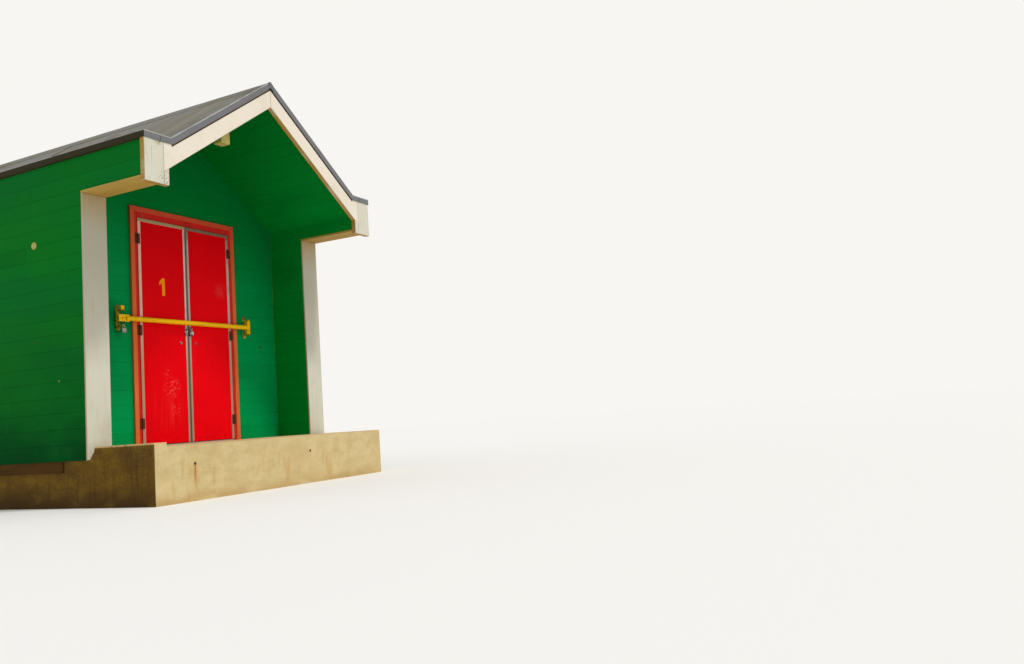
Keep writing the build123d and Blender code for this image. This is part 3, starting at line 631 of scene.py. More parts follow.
# Folded aluminium roof trim, dull grey from salt, with a painted highlight along its upper roll.
LEFT_TRIM_FACE = ((Axis.X, -1.3570, -1.3585), (Axis.Z, 2.729, 2.722))
GREY_TRIM = Finish(
    "weathered_aluminium_trim", Slot.TRIM, "#797A7D", 0.6,
    tone_colour="#666668", edge_colour="#B4B4B0", metallic=0.2, sheen=0.3,
    layers=(
        Layer((300, 120, 120), (0.42, 0.7), "#727272", 0.6, 0.7),
        Layer((30, 30, 50), (0.6, 0.74), "#7A6C5E", 0.4, 0.75),
        Layer((5, 5, 5), (0.5, 0.7), relief_mm=0.08),
        # Painted reflection and shade: the lower part of the left side trim's face darkened brown, as the
        # metal in shade mirrors the ground.
        Layer((300, 300, 60), (0.0, 0.02), "#36301E", 1.0, 0.75, fades=LEFT_TRIM_FACE),
    ),
)

# Rolled aluminium strip screwed round the left leaf: bare, brushed, pinked by salt and the paint's
# rubbings, tanned towards the foot, its meeting edge greened by what runs down the joint.
STRIP_FOOT = Layer((60, 60, 160), (0.0, 0.35), "#BA8E74", 0.9, 0.65, fades=((Axis.Z, 1.55, 1.05),))
LEFT_STRIP = Finish(
    "brushed_aluminium_left_strip", Slot.STRIP, "#E8CCC4", 0.5,
    metallic=0.3, sheen=0.5,
    layers=(
        Layer((3, 3, 240), (0.4, 0.65), "#D0B4A8", 0.5, relief_mm=0.03),
        Layer((14, 14, 260), (0.5, 0.68), "#A87C6C", 0.5, 0.65),
        Layer((40, 40, 130), (0.5, 0.7), "#B8A08E", 0.5, 0.65),
        Layer((90, 90, 90), (0.0, 0.05), "#E6B49C", 0.7, 0.6, fades=((Axis.X, -0.47, -0.50),)),
        STRIP_FOOT,
        Layer((90, 90, 90), (0.0, 0.05), "#56665A", 0.9, 0.6, fades=((Axis.X, -0.016, -0.010),)),
        Layer((60, 60, 20), (0.1, 0.5), "#A8905C", 0.9, 0.7, fades=((Axis.Z, 2.36, 2.38),)),
        Layer((8, 8, 10), (0.68, 0.75), "#6A5444", 0.6, 0.7),
    ),
)

# The same strip on the right leaf: greyer, its head painted brown as the frame's shadow over it, and darker
# towards the top.
RIGHT_STRIP = Finish(
    "brushed_aluminium_right_strip", Slot.STRIP, "#C4B4AA", 0.5,
    metallic=0.3, sheen=0.5,
    layers=(
        Layer((3, 3, 240), (0.4, 0.65), "#AC9C94", 0.5, relief_mm=0.03),
        Layer((40, 40, 130), (0.5, 0.7), "#9A8A82", 0.5, 0.65),
        STRIP_FOOT,
        Layer((90, 90, 90), (0.0, 0.05), "#56665E", 0.9, 0.6, fades=((Axis.X, 0.014, 0.009),)),
        # Painted shadow of the frame's head over the top strip.
        Layer((60, 60, 20), (0.0, 0.3), "#7A5C36", 0.85, 0.75, fades=((Axis.Z, 2.345, 2.36),)),
        Layer((60, 60, 200), (0.3, 0.6), "#806A58", 0.7, 0.7, fades=((Axis.Z, 2.0, 2.3),)),
    ),
)

# The threshold's strip: the same metal, trodden dull and sandy.
THRESHOLD_STRIP = replace(
    LEFT_STRIP,
    name="brushed_aluminium_threshold", colour="#B4A898",
    layers=(
        Layer((240, 3, 3), (0.4, 0.65), "#968A7C", 0.5, relief_mm=0.03),
        Layer((120, 20, 20), (0.48, 0.7), "#9A8458", 0.7, 0.75),
        Layer((9, 9, 9), (0.6, 0.72), "#6A5C4C", 0.6, 0.7),
    ),
)

# Painted mild steel hinges whose black paint has let the rust through.
DARK_STEEL = Finish(
    "rusted_black_painted_steel", Slot.DARK, "#5E3220", 0.65,
    metallic=0.2, sheen=0.3,
    layers=(
        Layer((9, 9, 12), (0.46, 0.6), "#5A3420", 0.7, 0.8, 0.2),
        Layer((3, 3, 3), (0.6, 0.7), "#7A4828", 0.6, 0.85, 0.1),
    ),
)

# Bare and plated steel near the meeting edges, the hinges' black steel at the outer ones.
LEAF_FITTINGS = (
    Layer((9, 9, 12), (0.46, 0.6), "#5A3420", 0.7, 0.8, 0.2),
    Layer((90, 90, 90), (0.0, 0.02), "#CCC4BE", 1.0, 0.25, fades=((Axis.X, -0.40, -0.35),)),
    Layer((16, 16, 14), (0.42, 0.5), "#2E2620", 0.9, 0.6, fades=((Axis.X, -0.40, -0.35),)),
    *(
        Layer((12, 12, 12), (0.46, 0.52), "#CC2830", 0.9, 0.5, spot=(x, -0.838, 1.32, 0.045))
        for x in (-0.0845, 0.0845)
    ),
)
LEFT_FITTINGS = Finish(
    "left_leaf_steel", Slot.DARK, "#642A1A", 0.65, metallic=0.5, ior=None, layers=LEAF_FITTINGS
)
RIGHT_FITTINGS = Finish(
    "right_leaf_steel", Slot.DARK, "#5C3C24", 0.65,
    metallic=0.5, ior=None,
    layers=tuple(
        replace(layer, fades=((Axis.X, 0.40, 0.35),)) if layer.fades else layer for layer in LEAF_FITTINGS
    ),
)

# Gloss yellow paint on a steel tube: thick and shiny, chipped to brown steel in small spots, with
# painted shade darkening its underside.
YELLOW_BAR = Finish(
    "gloss_yellow_paint_on_steel_tube", Slot.YELLOW, "#FFC800", 0.35,
    sheen=0.3,
    layers=(
        Layer((60, 30, 30), (0.45, 0.7), "#EEB000", 0.6),
        Layer((7, 5, 5), (0.68, 0.73), "#8A5A1C", 0.7, 0.7, -0.15),
        Layer((25, 12, 12), (0.58, 0.66), "#D89800", 0.5, 0.5),
        # Painted shade: darker along the tube's underside.
        Layer((200, 20, 12), (0.5, 0.64), "#A88A10", 0.6, 0.5, fades=((Axis.Z, 1.5, 1.482),)),
    ),
)

# The same yellow on the wall brackets, mostly worn off: olive dirt, rust at the bolts and lugs.
BRACKET_PAINT = Finish(
    "worn_yellow_paint_on_steel_brackets", Slot.BRACKET, "#C8B008", 0.5,
    sheen=0.3,
    layers=(
        Layer((22, 22, 30), (0.42, 0.56), "#6E8010", 0.75, 0.6),
        Layer((18, 18, 22), (0.47, 0.56), "#8A4A18", 0.9, 0.8, -0.25),
        Layer((60, 60, 60), (0.0, 0.3), "#8A5220", 0.7, 0.8, fades=((Axis.Z, 1.595, 1.61),)),
        Layer((6, 6, 6), (0.6, 0.68), "#4A2E14", 0.7, 0.85),
        Layer((9, 9, 9), (0.3, 0.45), "#E6DCC4", 0.8, 0.5, spot=(0.714, -0.83, 1.402, 0.016)),
    ),
)

# Laminated steel of the wall bracket's padlock and the small screws, dull and pink-grey with salt.
LOCK_STEEL = Finish(
    "salted_padlock_steel", Slot.BRIGHT, "#A4A498", 0.42,
    metallic=0.7, ior=None,
    layers=(
        Layer((60, 60, 4), (0.45, 0.6), "#84766E", 0.6, 0.55, 0.15),
        Layer((9, 9, 9), (0.5, 0.66), "#5E5048", 0.6, 0.6),
    ),
)

# Chromed padlock that has kept its shine, with pits and dirt in its seams.
BRIGHT_LOCK = Finish(
    "chromed_padlock_steel", Slot.BRIGHT, "#C2BCB2", 0.2,
    metallic=1.0, ior=None,
    layers=(
        Layer((14, 14, 14), (0.43, 0.52), "#3A322A", 0.9, 0.5),
        Layer((60, 60, 4), (0.48, 0.6), "#A89C90", 0.5, 0.4, 0.1),
    ),
)

# Moulded plastic of the lamp housing and the wall cap, yellowed and dusty.
CREAM_PLASTIC = Finish(
    "yellowed_moulded_plastic", Slot.CREAM, "#BCB46A", 0.5,
    sheen=0.2,
    layers=(
        Layer((40, 40, 40), (0.42, 0.68), "#9E9648", 0.7),
        Layer((9, 9, 14), (0.6, 0.74), "#8A7E50", 0.5, 0.7),
        Layer((2, 2, 2), (0.4, 0.7), relief_mm=0.05),
    ),
)

# Ribbed acrylic diffuser under the lamp, browned by heat, with insects' dust behind it.
AMBER_LENS = Finish(
    "browned_acrylic_diffuser", Slot.CREAM, "#A88838", 0.3,
    ior=1.49, sheen=0.6,
    layers=(
        Layer((18, 18, 18), (0.45, 0.65), "#7A5E20", 0.7),
        Layer((5, 200, 200), (0.4, 0.6), relief_mm=0.4),
    ),
)

# Orange vinyl figure stuck to the leaf, its face sun-faded in patches.
ORANGE_VINYL = Finish(
    "orange_vinyl_figure", Slot.YELLOW, "#FF9C0C", 0.45,
    edge_colour="#F07818", sheen=0.08,
    layers=(
        Layer((30, 30, 50), (0.45, 0.7), "#FF900A", 0.6),
        Layer((5, 5, 9), (0.64, 0.74), "#F0601C", 0.6),
    ),
)


def placed(point: Point, along: float, axis: Axis) -> Vector:
    """Put a point of an outline at a distance along the outline's axis."""
    return Vector((*point[: axis.value], along, *point[axis.value :]))


def rectangle(low_a: float, high_a: float, low_b: float, high_b: float) -> Outline:
    """Return the outline of a rectangle between two values on each axis."""
    return [(low_a, low_b), (high_a, low_b), (high_a, high_b), (low_a, high_b)]


def cut(outline: Outline, normal: Point, limit: float) -> Outline:
    """Keep the part of an outline on the near side of a line.

    Args:
        outline: Corners in order.
        normal: Direction in which the line lies.
        limit: Distance of the line along that direction.

    Returns:
        The corners that are left, which may be none.
    """
    kept: Outline = []
    for here, there in zip(outline, outline[1:] + outline[:1]):
        here_over = here[0] * normal[0] + here[1] * normal[1] - limit
        there_over = there[0] * normal[0] + there[1] * normal[1] - limit
        if here_over <= 0:
            kept.append(here)
        if here_over * there_over < 0:
            share = here_over / (here_over - there_over)
            kept.append(tuple(a + (b - a) * share for a, b in zip(here, there)))
    return kept


def area(outline: Outline) -> float:
    """Return the area inside an outline."""
    pairs = zip(outline, outline[1:] + outline[:1])
    return abs(sum(a[0] * b[1] - b[0] * a[1] for a, b in pairs)) / 2


class Joinery:
    """Collects prisms into one mesh; faces carry their piece's tone and a mark on worn edges."""

    def __init__(self) -> None:
        """Start an empty mesh."""
        self.mesh = bmesh.new()
        self.tone = self.mesh.faces.layers.float.new("tone")
        self.edge = self.mesh.faces.layers.float.new("edge")

    def prism(
        self,
        outline: Outline,
        axis: Axis,
        low: float,
        high: float,
        arris: float = 0.0,
        tone: float = 0.0,
        # The mark on the faces between the ends carries painted light: the sand's tan glow on white boards, a
        # highlight on trims.
        painted_light_mark: float = 0.0,
        ends: float = 0.0,
        worn: float = 0.0,
        far: Outline | None = None,
    ) -> None:
        """Push an outline out into a solid.

        Args:
            outline: Corners at the low end.
            axis: Direction of the push.
            low: Place of the low end along the axis.
            high: Place of the high end along the axis.
            arris: Width of the bevel on every edge.
            tone: Tone of the piece, from 0 to 1.
            painted_light_mark: Mark on the faces between the two ends.
            ends: Mark on the two ends.
            worn: Mark on the bevels.
            far: Corners at the high end, where they differ from the low end's.
        """
        near_ring = [self.mesh.verts.new(placed(point, low, axis)) for point in outline]
        far_ring = [self.mesh.verts.new(placed(point, high, axis)) for point in far or outline]
        faces = [self.mesh.faces.new(near_ring), self.mesh.faces.new(far_ring[::-1])]
        for index, corner in enumerate(near_ring):
            before = index - 1
            faces.append(self.mesh.faces.new((corner, near_ring[before], far_ring[before], far_ring[index])))
        bmesh.ops.recalc_face_normals(self.mesh, faces=faces)
        for number, face in enumerate(faces):
            face[self.tone] = tone
            face[self.edge] = painted_light_mark if number > 1 else ends
        if arris:
            made = bmesh.ops.bevel(
                self.mesh,
                geom=list(dict.fromkeys(edge for face in faces for edge in face.edges)),
                offset=arris,
                segments=1,
                profile=0.5,
                affect="EDGES",
                clamp_overlap=True,
            )
            for face in made["faces"]:
                face[self.tone] = tone
                face[self.edge] = worn

    def disc(self, centre: Point, axis: Axis, radius: float, low: float, high: float) -> None:
        """Add a short round stud, such as a screw head, its rim chamfered.

        Args:
            centre: Middle of the stud on the two other axes.
            axis: Direction of the stud.
            radius: Radius at its foot.
            low: Place of its foot along the axis.
            high: Place of its head along the axis.
        """
        sides = 10
        head_share = 0.7
        turns = [math.tau * step / sides for step in range(sides)]
        rings = [
            [(centre[0] + ring * math.cos(turn), centre[1] + ring * math.sin(turn)) for turn in turns]
            for ring in (radius, radius * head_share)
        ]
        self.prism(rings[0], axis, low, high, far=rings[1])

    def piece(self, name: str, finish: Finish, body: str = "hut", stands_for: Sequence[str] = ()) -> None:
        """Make the mesh an object of the hut.

        Args:
            name: The piece's name.
            finish: Its finish.
            body: The CAD body that it rides on.
            stands_for: CAD nodes that it replaces.
        """
        data = bpy.data.meshes.new(name)
        self.mesh.to_mesh(data)
        self.mesh.free()
        data.materials.append(finish.material())
        piece = bpy.data.objects.new(name, data)
        bpy.context.scene.collection.objects.link(piece)
        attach(piece, body)
        if stands_for:
            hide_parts(*stands_for)
        LOG.info("%s: %d faces, rides on %s", name, len(data.polygons), body)


def dress(finish: Finish, *nodes: str) -> None:
    """Give CAD nodes a finish in place of their plain one.

    Args:
        finish: The finish.
        nodes: Names of the nodes.
    """
    for node in nodes:
        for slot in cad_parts[node].material_slots:
            slot.material = finish.material()
        LOG.info("%s: CAD node dressed in %s", node, finish.name)


@dataclass
class Places:
    """Main planes of the hut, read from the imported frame, and the lines of its roof.

    Args:
        cover: Thickness of the roof covering.
        deck_bottom: Depth of the deck's underside below the covering's top.
        rafter_bottom: Depth of the rafters' underside.
        ceiling_bottom: Depth of the porch ceiling's underside.
        barge_top: Depth of the bargeboards' top edge.
        barge_bottom: Depth of their lower edge.
        valley_inset: How far the slopes' feet stand in from the side walls.
    """

    cover: float = 0.008
    deck_bottom: float = 0.026
    rafter_bottom: float = 0.123
    ceiling_bottom: float = 0.138
    barge_top: float = 0.052
    barge_bottom: float = 0.177
    valley_inset: float = 0.034

    def __post_init__(self) -> None:
        """Read the planes that the pieces share."""
        wall_low, wall_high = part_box("right_party_wall")
        door_low, door_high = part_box("front_wall_right")
        roof_low, roof_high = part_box("roof_covering")
        post_low, post_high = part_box("post_boards")
        self.half_clear = wall_low.x
        self.half_width = wall_high.x
        self.wall_foot = wall_low.z
        self.wall_top = wall_high.z
        self.beam_front = wall_low.y
        self.back = wall_high.y
        self.room_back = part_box("back_wall")[0].y
        self.door_wall = door_low.y
        self.door_wall_back = door_high.y
        self.floor = door_low.z
        self.post_front = post_low.y
        self.post_back = post_high.y
        self.soffit = post_high.z
        self.beam_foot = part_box("soffit_boards")[1].z
        self.reach = roof_low.y
        self.roof_back = roof_high.y
        self.flat = roof_low.z + self.cover
        self.ridge = roof_high.z
        self.foot = self.half_clear - self.valley_inset
        self.pitch = math.atan((self.ridge - self.flat) / self.foot)

    def slope(self, x: float, depth: float) -> float:
        """Return the height of the roof's slope at x, depth below its top and square to it."""
        return self.flat + (self.foot - abs(x)) * math.tan(self.pitch) - depth / math.cos(self.pitch)

    def valley(self, depth: float) -> float:
        """Return x where the slope meets the flat strip at a depth."""
        return self.foot - depth * math.tan(self.pitch / 2)

    def over_ridge(self, right: Outline, top: float, bottom: float) -> Outline:
        """Close the right half of a layer over the ridge with its mirror image.

        Args:
            right: The right half's corners between the ridge's top and its underside.
            top: Depth of the layer's top at the ridge.
            bottom: Depth of its underside.

        Returns:
            Corners in order, seen from the front.
        """
        left = Side.LEFT.mirror(right[::-1])
        return [(0.0, self.slope(0, top))] + right + [(0.0, self.slope(0, bottom))] + left

    def roof_band(self, top: float, bottom: float, end: float) -> Outline:
        """Return the outline of a layer over both slopes and both flat strips.

        Args:
            top: Depth of the layer's top.
            bottom: Depth of its underside.
            end: Distance of its ends from the middle.

        Returns:
            Corners in order, seen from the front.
        """
        right = [(self.valley(top), self.flat - top), (end, self.flat - top)]
        right += [(end, self.flat - bottom), (self.valley(bottom), self.flat - bottom)]
        return self.over_ridge(right, top, bottom)

    def ridge_band(self, half: float, top: float, edge: float, bottom: float) -> Outline:
        """Return the outline of a strip folded over the ridge.

        Args:
            half: Half of its width.
            top: Depth of its top at the ridge.
            edge: Depth of its top at its edges.
            bottom: Depth of its underside.

        Returns:
            Corners in order, seen from the front.
        """
        right = [(half, self.slope(half, edge)), (half, self.slope(half, bottom))]
        return self.over_ridge(right, top, bottom)


@dataclass(frozen=True)
class Boarding:
    """Boards laid side by side over an outline, with V joints and odd butt joints.

    Args:
        cover: Width that each board covers.
        thickness: Thickness of a board.
        arris: Width of the bevel that makes the V joints.
        gap: Gap between two boards.
        jitter: Most that a board stands back from its neighbours.
        joint_every: Mean run between two butt joints, or 0 for none.
        joint_span: Shares of a board's length between which a butt joint lies.
        sliver: Share of the cover's square below which a scrap of a board is left out.
        seed: Seed of the tones and joints.
    """

    cover: float = 0.121
    thickness: float = 0.018
    arris: float = 0.0035
    gap: float = 0.0004
    jitter: float = 0.0004
    joint_every: float = 0.0
    joint_span: Point = (0.15, 0.85)
    sliver: float = 0.05
    seed: int = 1

    def courses(self, outline: Outline, direction: Point, start: float) -> Iterator[Outline]:
        """Slice an outline into boards across a direction.

        Args:
            outline: The covered area.
            direction: Unit vector across the boards.
            start: A place along that vector where a joint lies.

        Yields:
            The outline of each board.
        """
        spans = [a * direction[0] + b * direction[1] for a, b in outline]
        first = math.floor((min(spans) - start) / self.cover)
        last = math.ceil((max(spans) - start) / self.cover)
        for index in range(first, last):
            low = start + index * self.cover + self.gap / 2
            high = low + self.cover - self.gap
            board = cut(cut(outline, direction, high), (-direction[0], -direction[1]), -low)
            if len(board) > 2 and area(board) > self.sliver * self.cover**2:
                yield board

    def lay(
        self,
        joinery: Joinery,
        outline: Outline,
        axis: Axis,
        face: float,
        back: float,
        start: float,
        direction: Point = (0.0, 1.0),
    ) -> None:
        """Lay the boards between their shown face and their back.

        Args:
            joinery: Mesh that takes them.
            outline: The covered area.
            axis: Axis square to the boards.
            face: Place of their shown face on that axis.
            back: Place of their back.
            start: A place across the boards where a joint lies.
            direction: Unit vector across the boards.
        """
        chance = random.Random(self.seed)
        inward = math.copysign(1.0, back - face)
        run = (-direction[1], direction[0])
        for board in self.courses(outline, direction, start):
            for length in self.butted(board, run, chance):
                shown = face + inward * chance.random() * self.jitter
                low, high = sorted((shown, back))
                joinery.prism(length, axis, low, high, self.arris, chance.random(), worn=0.6)

    def butted(self, board: Outline, run: Point, chance: random.Random) -> list[Outline]:
        """Cut a board into lengths that butt against each other.

        Args:
            board: Outline of the whole board.
            run: Unit vector along the board.
            chance: Source of the joints' places.

        Returns:
            The lengths.
        """
        spans = [a * run[0] + b * run[1] for a, b in board]
        length = max(spans) - min(spans)
        if not self.joint_every or chance.random() > length / self.joint_every / 2:
            return [board]
        place = min(spans) + length * chance.uniform(*self.joint_span)
        near = cut(board, run, place - self.gap / 4)
        far = cut(board, (-run[0], -run[1]), -(place + self.gap / 4))
        return [part for part in (near, far) if len(part) > 2]


@dataclass
class Walls:
    """Framed side, back and door walls, boarded level outside, in the porch and in the room.

    Args:
        place: Main planes of the hut.
        outside: Boards on the weather faces.
        porch: Boards in the porch.
        lining: Boards in the room.
        hook: X, height and radius of the hook on the door wall.
        hook_reach: How far it stands out.
        eye: Distance behind the post's front, height and radius of the dark stud on the left wall.
        screw: The same three of the pale stud.
        head: How far the two studs stand out.
    """

    place: Places
    outside: Boarding = Boarding(arris=0.0015, joint_every=4.5, seed=11)
    porch: Boarding = Boarding(arris=0.0009, jitter=0.0002, seed=23)
    lining: Boarding = Boarding(cover=0.145, arris=0.002, seed=37)
    hook: Triple = (0.93, 1.318, 0.011)
    hook_reach: float = 0.01
    eye: Triple = (0.581, 1.284, 0.006)
    screw: Triple = (0.307, 0.964, 0.007)
    head: float = 0.003

    def side_outline(self, foot: float, end: float) -> Outline:
        """Return a side wall with its beam over the porch, seen from the side.

        Args:
            foot: Height of the wall's foot.
            end: Where the wall ends at the back.

        Returns:
            Corners as (y, z).
        """
        place = self.place
        wall = [(place.post_back, foot), (end, foot), (end, place.wall_top)]
        beam = [(place.beam_front, place.wall_top), (place.beam_front, place.beam_foot)]
        return wall + beam + [(place.post_back, place.beam_foot)]

    def side(self, side: Side, node: str) -> None:
        """Build one side wall: weather boards, a core, porch boards and the room's lining.

        Args:
            side: Which side.
            node: The CAD node that it replaces.
        """
        place = self.place
        skin = self.outside.thickness
        outer = side.value * place.half_width
        inner = side.value * place.half_clear
        outward = side.value * skin
        whole = self.side_outline(place.wall_foot, place.back - skin)
        boards = Joinery()
        self.outside.lay(boards, whole, Axis.X, outer, outer - outward, place.wall_foot)
        boards.piece(side.named("wall_weather_boards"), GREEN_SIDE, stands_for=(node,))
        core = Joinery()
        core.prism(whole, Axis.X, *side.span(place.half_clear + skin, place.half_width - skin))
        core.piece(side.named("wall_frame"), RAW_SOFTWOOD)
        porch = Joinery()
        shown = self.side_outline(place.floor, place.door_wall)
        self.porch.lay(porch, shown, Axis.X, inner, inner + outward, place.floor)
        porch.piece(side.named("wall_porch_boards"), GREEN_CEILING)
        lining = Joinery()
        room = rectangle(place.door_wall, place.back - skin, place.floor, place.wall_top)
        self.lining.lay(lining, room, Axis.X, inner, inner + outward, place.floor)
        lining.piece(side.named("wall_lining"), RAW_SOFTWOOD)

    def gable_outline(self, half: float, foot: float, depth: float) -> Outline:
        """Return a gable wall seen from the front, up to a depth under the roof.

        Args:
            half: Half of its width.
            foot: Height of its foot.
            depth: Depth of its top below the covering.

        Returns:
            Corners as (x, z).
        """
        place = self.place
        top = [(half, place.slope(half, depth))]
        if depth <= place.deck_bottom:
            top = [(half, place.flat - depth), (place.valley(depth), place.flat - depth)]
        right = [(half, foot)] + top
        return right + [(0.0, place.slope(0, depth))] + Side.LEFT.mirror(right[::-1])

    def back(self) -> None:
        """Build the back wall across the ends of both side walls, and its lining."""
        place = self.place
        skin = self.outside.thickness
        boards = Joinery()
        whole = self.gable_outline(place.half_width, place.wall_foot, place.deck_bottom)
        self.outside.lay(boards, whole, Axis.Y, place.back, place.back - skin, place.wall_foot)
        boards.piece("back_wall_weather_boards", GREEN_SIDE, stands_for=("back_wall",))
        core = Joinery()
        inner = self.gable_outline(place.half_clear, place.wall_foot, place.deck_bottom)
        core.prism(inner, Axis.Y, place.room_back + skin, place.back - skin)
        core.piece("back_wall_frame", RAW_SOFTWOOD)
        lining = Joinery()
        room = self.gable_outline(place.half_clear, place.floor, place.rafter_bottom)
        self.lining.lay(lining, room, Axis.Y, place.room_back, place.room_back + skin, place.floor)
        lining.piece("back_wall_lining", RAW_SOFTWOOD)

    def door_wall(self) -> None:
        """Build the three parts of the door wall with their boards and lining."""
        place = self.place
        skin = self.porch.thickness
        front, back = place.door_wall, place.door_wall_back
        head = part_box("front_gable")[0].z
        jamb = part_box("front_wall_right")[0].x
        whole = self.gable_outline(place.half_clear, place.floor, place.rafter_bottom)
        right = cut(whole, (-1.0, 0.0), -jamb)
        over = cut(cut(cut(whole, (1.0, 0.0), jamb), (-1.0, 0.0), jamb), (0.0, -1.0), -head)
        parts = {"front_wall_left": Side.LEFT.mirror(right), "front_wall_right": right, "front_gable": over}
        for node, outline in parts.items():
            boards = Joinery()
            self.porch.lay(boards, outline, Axis.Y, front, front + skin, place.floor)
            boards.piece(f"{node}_boards", GREEN_PORCH, stands_for=(node,))
            inside = Joinery()
            inside.prism(outline, Axis.Y, front + skin, back - skin)
            self.lining.lay(inside, outline, Axis.Y, back, back - skin, place.floor)
            inside.piece(f"{node}_lining", RAW_SOFTWOOD)

    def studs(self) -> None:
        """Add the small screws and hooks that show on the walls."""
        place = self.place
        dark = Joinery()
        pale = Joinery()
        x, z, radius = self.hook
        dark.disc((x, z), Axis.Y, radius, place.door_wall, place.door_wall - self.hook_reach)
        face = -place.half_width
        for joinery, (behind, z, radius) in ((dark, self.eye), (pale, self.screw)):
            joinery.disc((place.post_front + behind, z), Axis.X, radius, face, face - self.head)
        dark.piece("wall_hooks", DARK_STEEL)
        pale.piece("wall_screw", LOCK_STEEL)

    def build(self) -> None:
        """Build every wall."""
        self.side(Side.LEFT, "left_wall")
        self.side(Side.RIGHT, "right_party_wall")
        self.back()
        self.door_wall()
        self.studs()


@dataclass
class WhiteTrim:
    """Cream-white posts, eaves blocks and bargeboards, and the soffits between them.

    Args:
        place: Main planes of the hut.
        arris: Bevel on the boards' edges.
        soffit_arris: Bevel on the soffit boards' edges.
        joint: Gap between an eaves block's boards, and half of that between the bargeboards.
        soffit_joint: Half of the gap between two soffit boards.
    """

    place: Places
    arris: float = 0.003
    soffit_arris: float = 0.0015
    joint: float = 0.001
    soffit_joint: float = 0.0006

    def posts(self) -> None:
        """Build the boards on the ends of the side walls."""
        place = self.place
        posts = Joinery()
        for side in Side:
            board = rectangle(*side.span(place.half_clear, place.half_width), place.wall_foot, place.soffit)
            posts.prism(board, Axis.Y, place.post_front, place.post_back, self.arris, painted_light_mark=0.9, worn=0.5)
        posts.piece("painted_post_boards", WHITE_POST, stands_for=("post_boards",))

    def soffits(self) -> None:
        """Build the boards under both beams, each in two widths."""
        place = self.place
        boards = Joinery()
        middle = (place.half_clear + place.half_width) / 2
        inner = (place.half_clear, middle - self.soffit_joint, 0.0)
        outer = (middle + self.soffit_joint, place.half_width, 0.5)
        run = (place.beam_front, place.post_back)
        for side in Side:
            for near, far, shift in (inner, outer):
                board = rectangle(*side.span(near, far), place.soffit, place.beam_foot)
                tone = 0.5 + side.value * shift
                boards.prism(board, Axis.Y, *run, self.soffit_arris, tone, worn=0.6)
        # The soffit boards' tan is the sand's reflected glow, painted into their finish.
        boards.piece("soffit_boards_with_painted_sand_glow", TAN_SOFFIT, stands_for=("soffit_boards",))

    def blocks(self) -> None:
        """Build the eaves blocks, each of a wide and a narrow upright board."""
        place = self.place
        run = (place.reach, place.beam_front)
        foot_out = abs(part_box("left_bargeboard")[0].x)
        for side in Side:
            node = side.named("eaves_block")
            low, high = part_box(node)
            foot_in = min(abs(low.x), abs(high.x))
            span = side.span(foot_out + self.joint, place.half_width)
            wide = rectangle(*span, low.z, place.wall_top)
            narrow = [(x, low.z) for x in (foot_in, foot_out)]
            narrow += [(x, place.slope(x, place.barge_bottom)) for x in (foot_out, foot_in)]
            block = Joinery()
            for board, worn in ((wide, 0.3), (side.mirror(narrow), 0.4)):
                block.prism(board, Axis.Y, *run, self.arris, tone=1.0, painted_light_mark=1.0, worn=worn)
            block.piece(f"painted_{node}", WHITE_TRIM, stands_for=(node,))

    def barge(self, joinery: Joinery, side: Side, foot: float, low: float, high: float) -> None:
        """Add one bargeboard.

        Args:
            joinery: Mesh that takes it.
            side: Side that it lies on.
            foot: Distance from the middle at which its plumb-cut foot ends.
            low: Place of its front along Y.
            high: Place of its back.
        """
        place = self.place
        batten_end = place.valley(place.deck_bottom)
        half = [
            (self.joint, place.slope(self.joint, place.barge_top)),
            (self.joint, place.slope(self.joint, place.barge_bottom)),
            (foot, place.slope(foot, place.barge_bottom)),
            (foot, place.wall_top),
            (batten_end, place.wall_top),
            (batten_end, place.slope(batten_end, place.barge_top)),
        ]
        joinery.prism(side.mirror(half), Axis.Y, low, high, self.arris, painted_light_mark=1.0, worn=0.3)

    def bargeboards(self) -> None:
        """Build the bargeboards of both gables."""
        for side in Side:
            node = side.named("bargeboard")
            low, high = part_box(node)
            board = Joinery()
            self.barge(board, side, max(abs(low.x), abs(high.x)), low.y, high.y)
            board.piece(f"painted_{node}", WHITE_BARGE, stands_for=(node,))
        low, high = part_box("back_bargeboards")
        back = Joinery()
        for side in Side:
            self.barge(back, side, self.place.half_width, low.y, high.y)
        back.piece("painted_back_bargeboards", WHITE_BARGE, stands_for=("back_bargeboards",))

    def build(self) -> None:
        """Build every white board and the soffits."""
        self.posts()
        self.soffits()
        self.blocks()
        self.bargeboards()


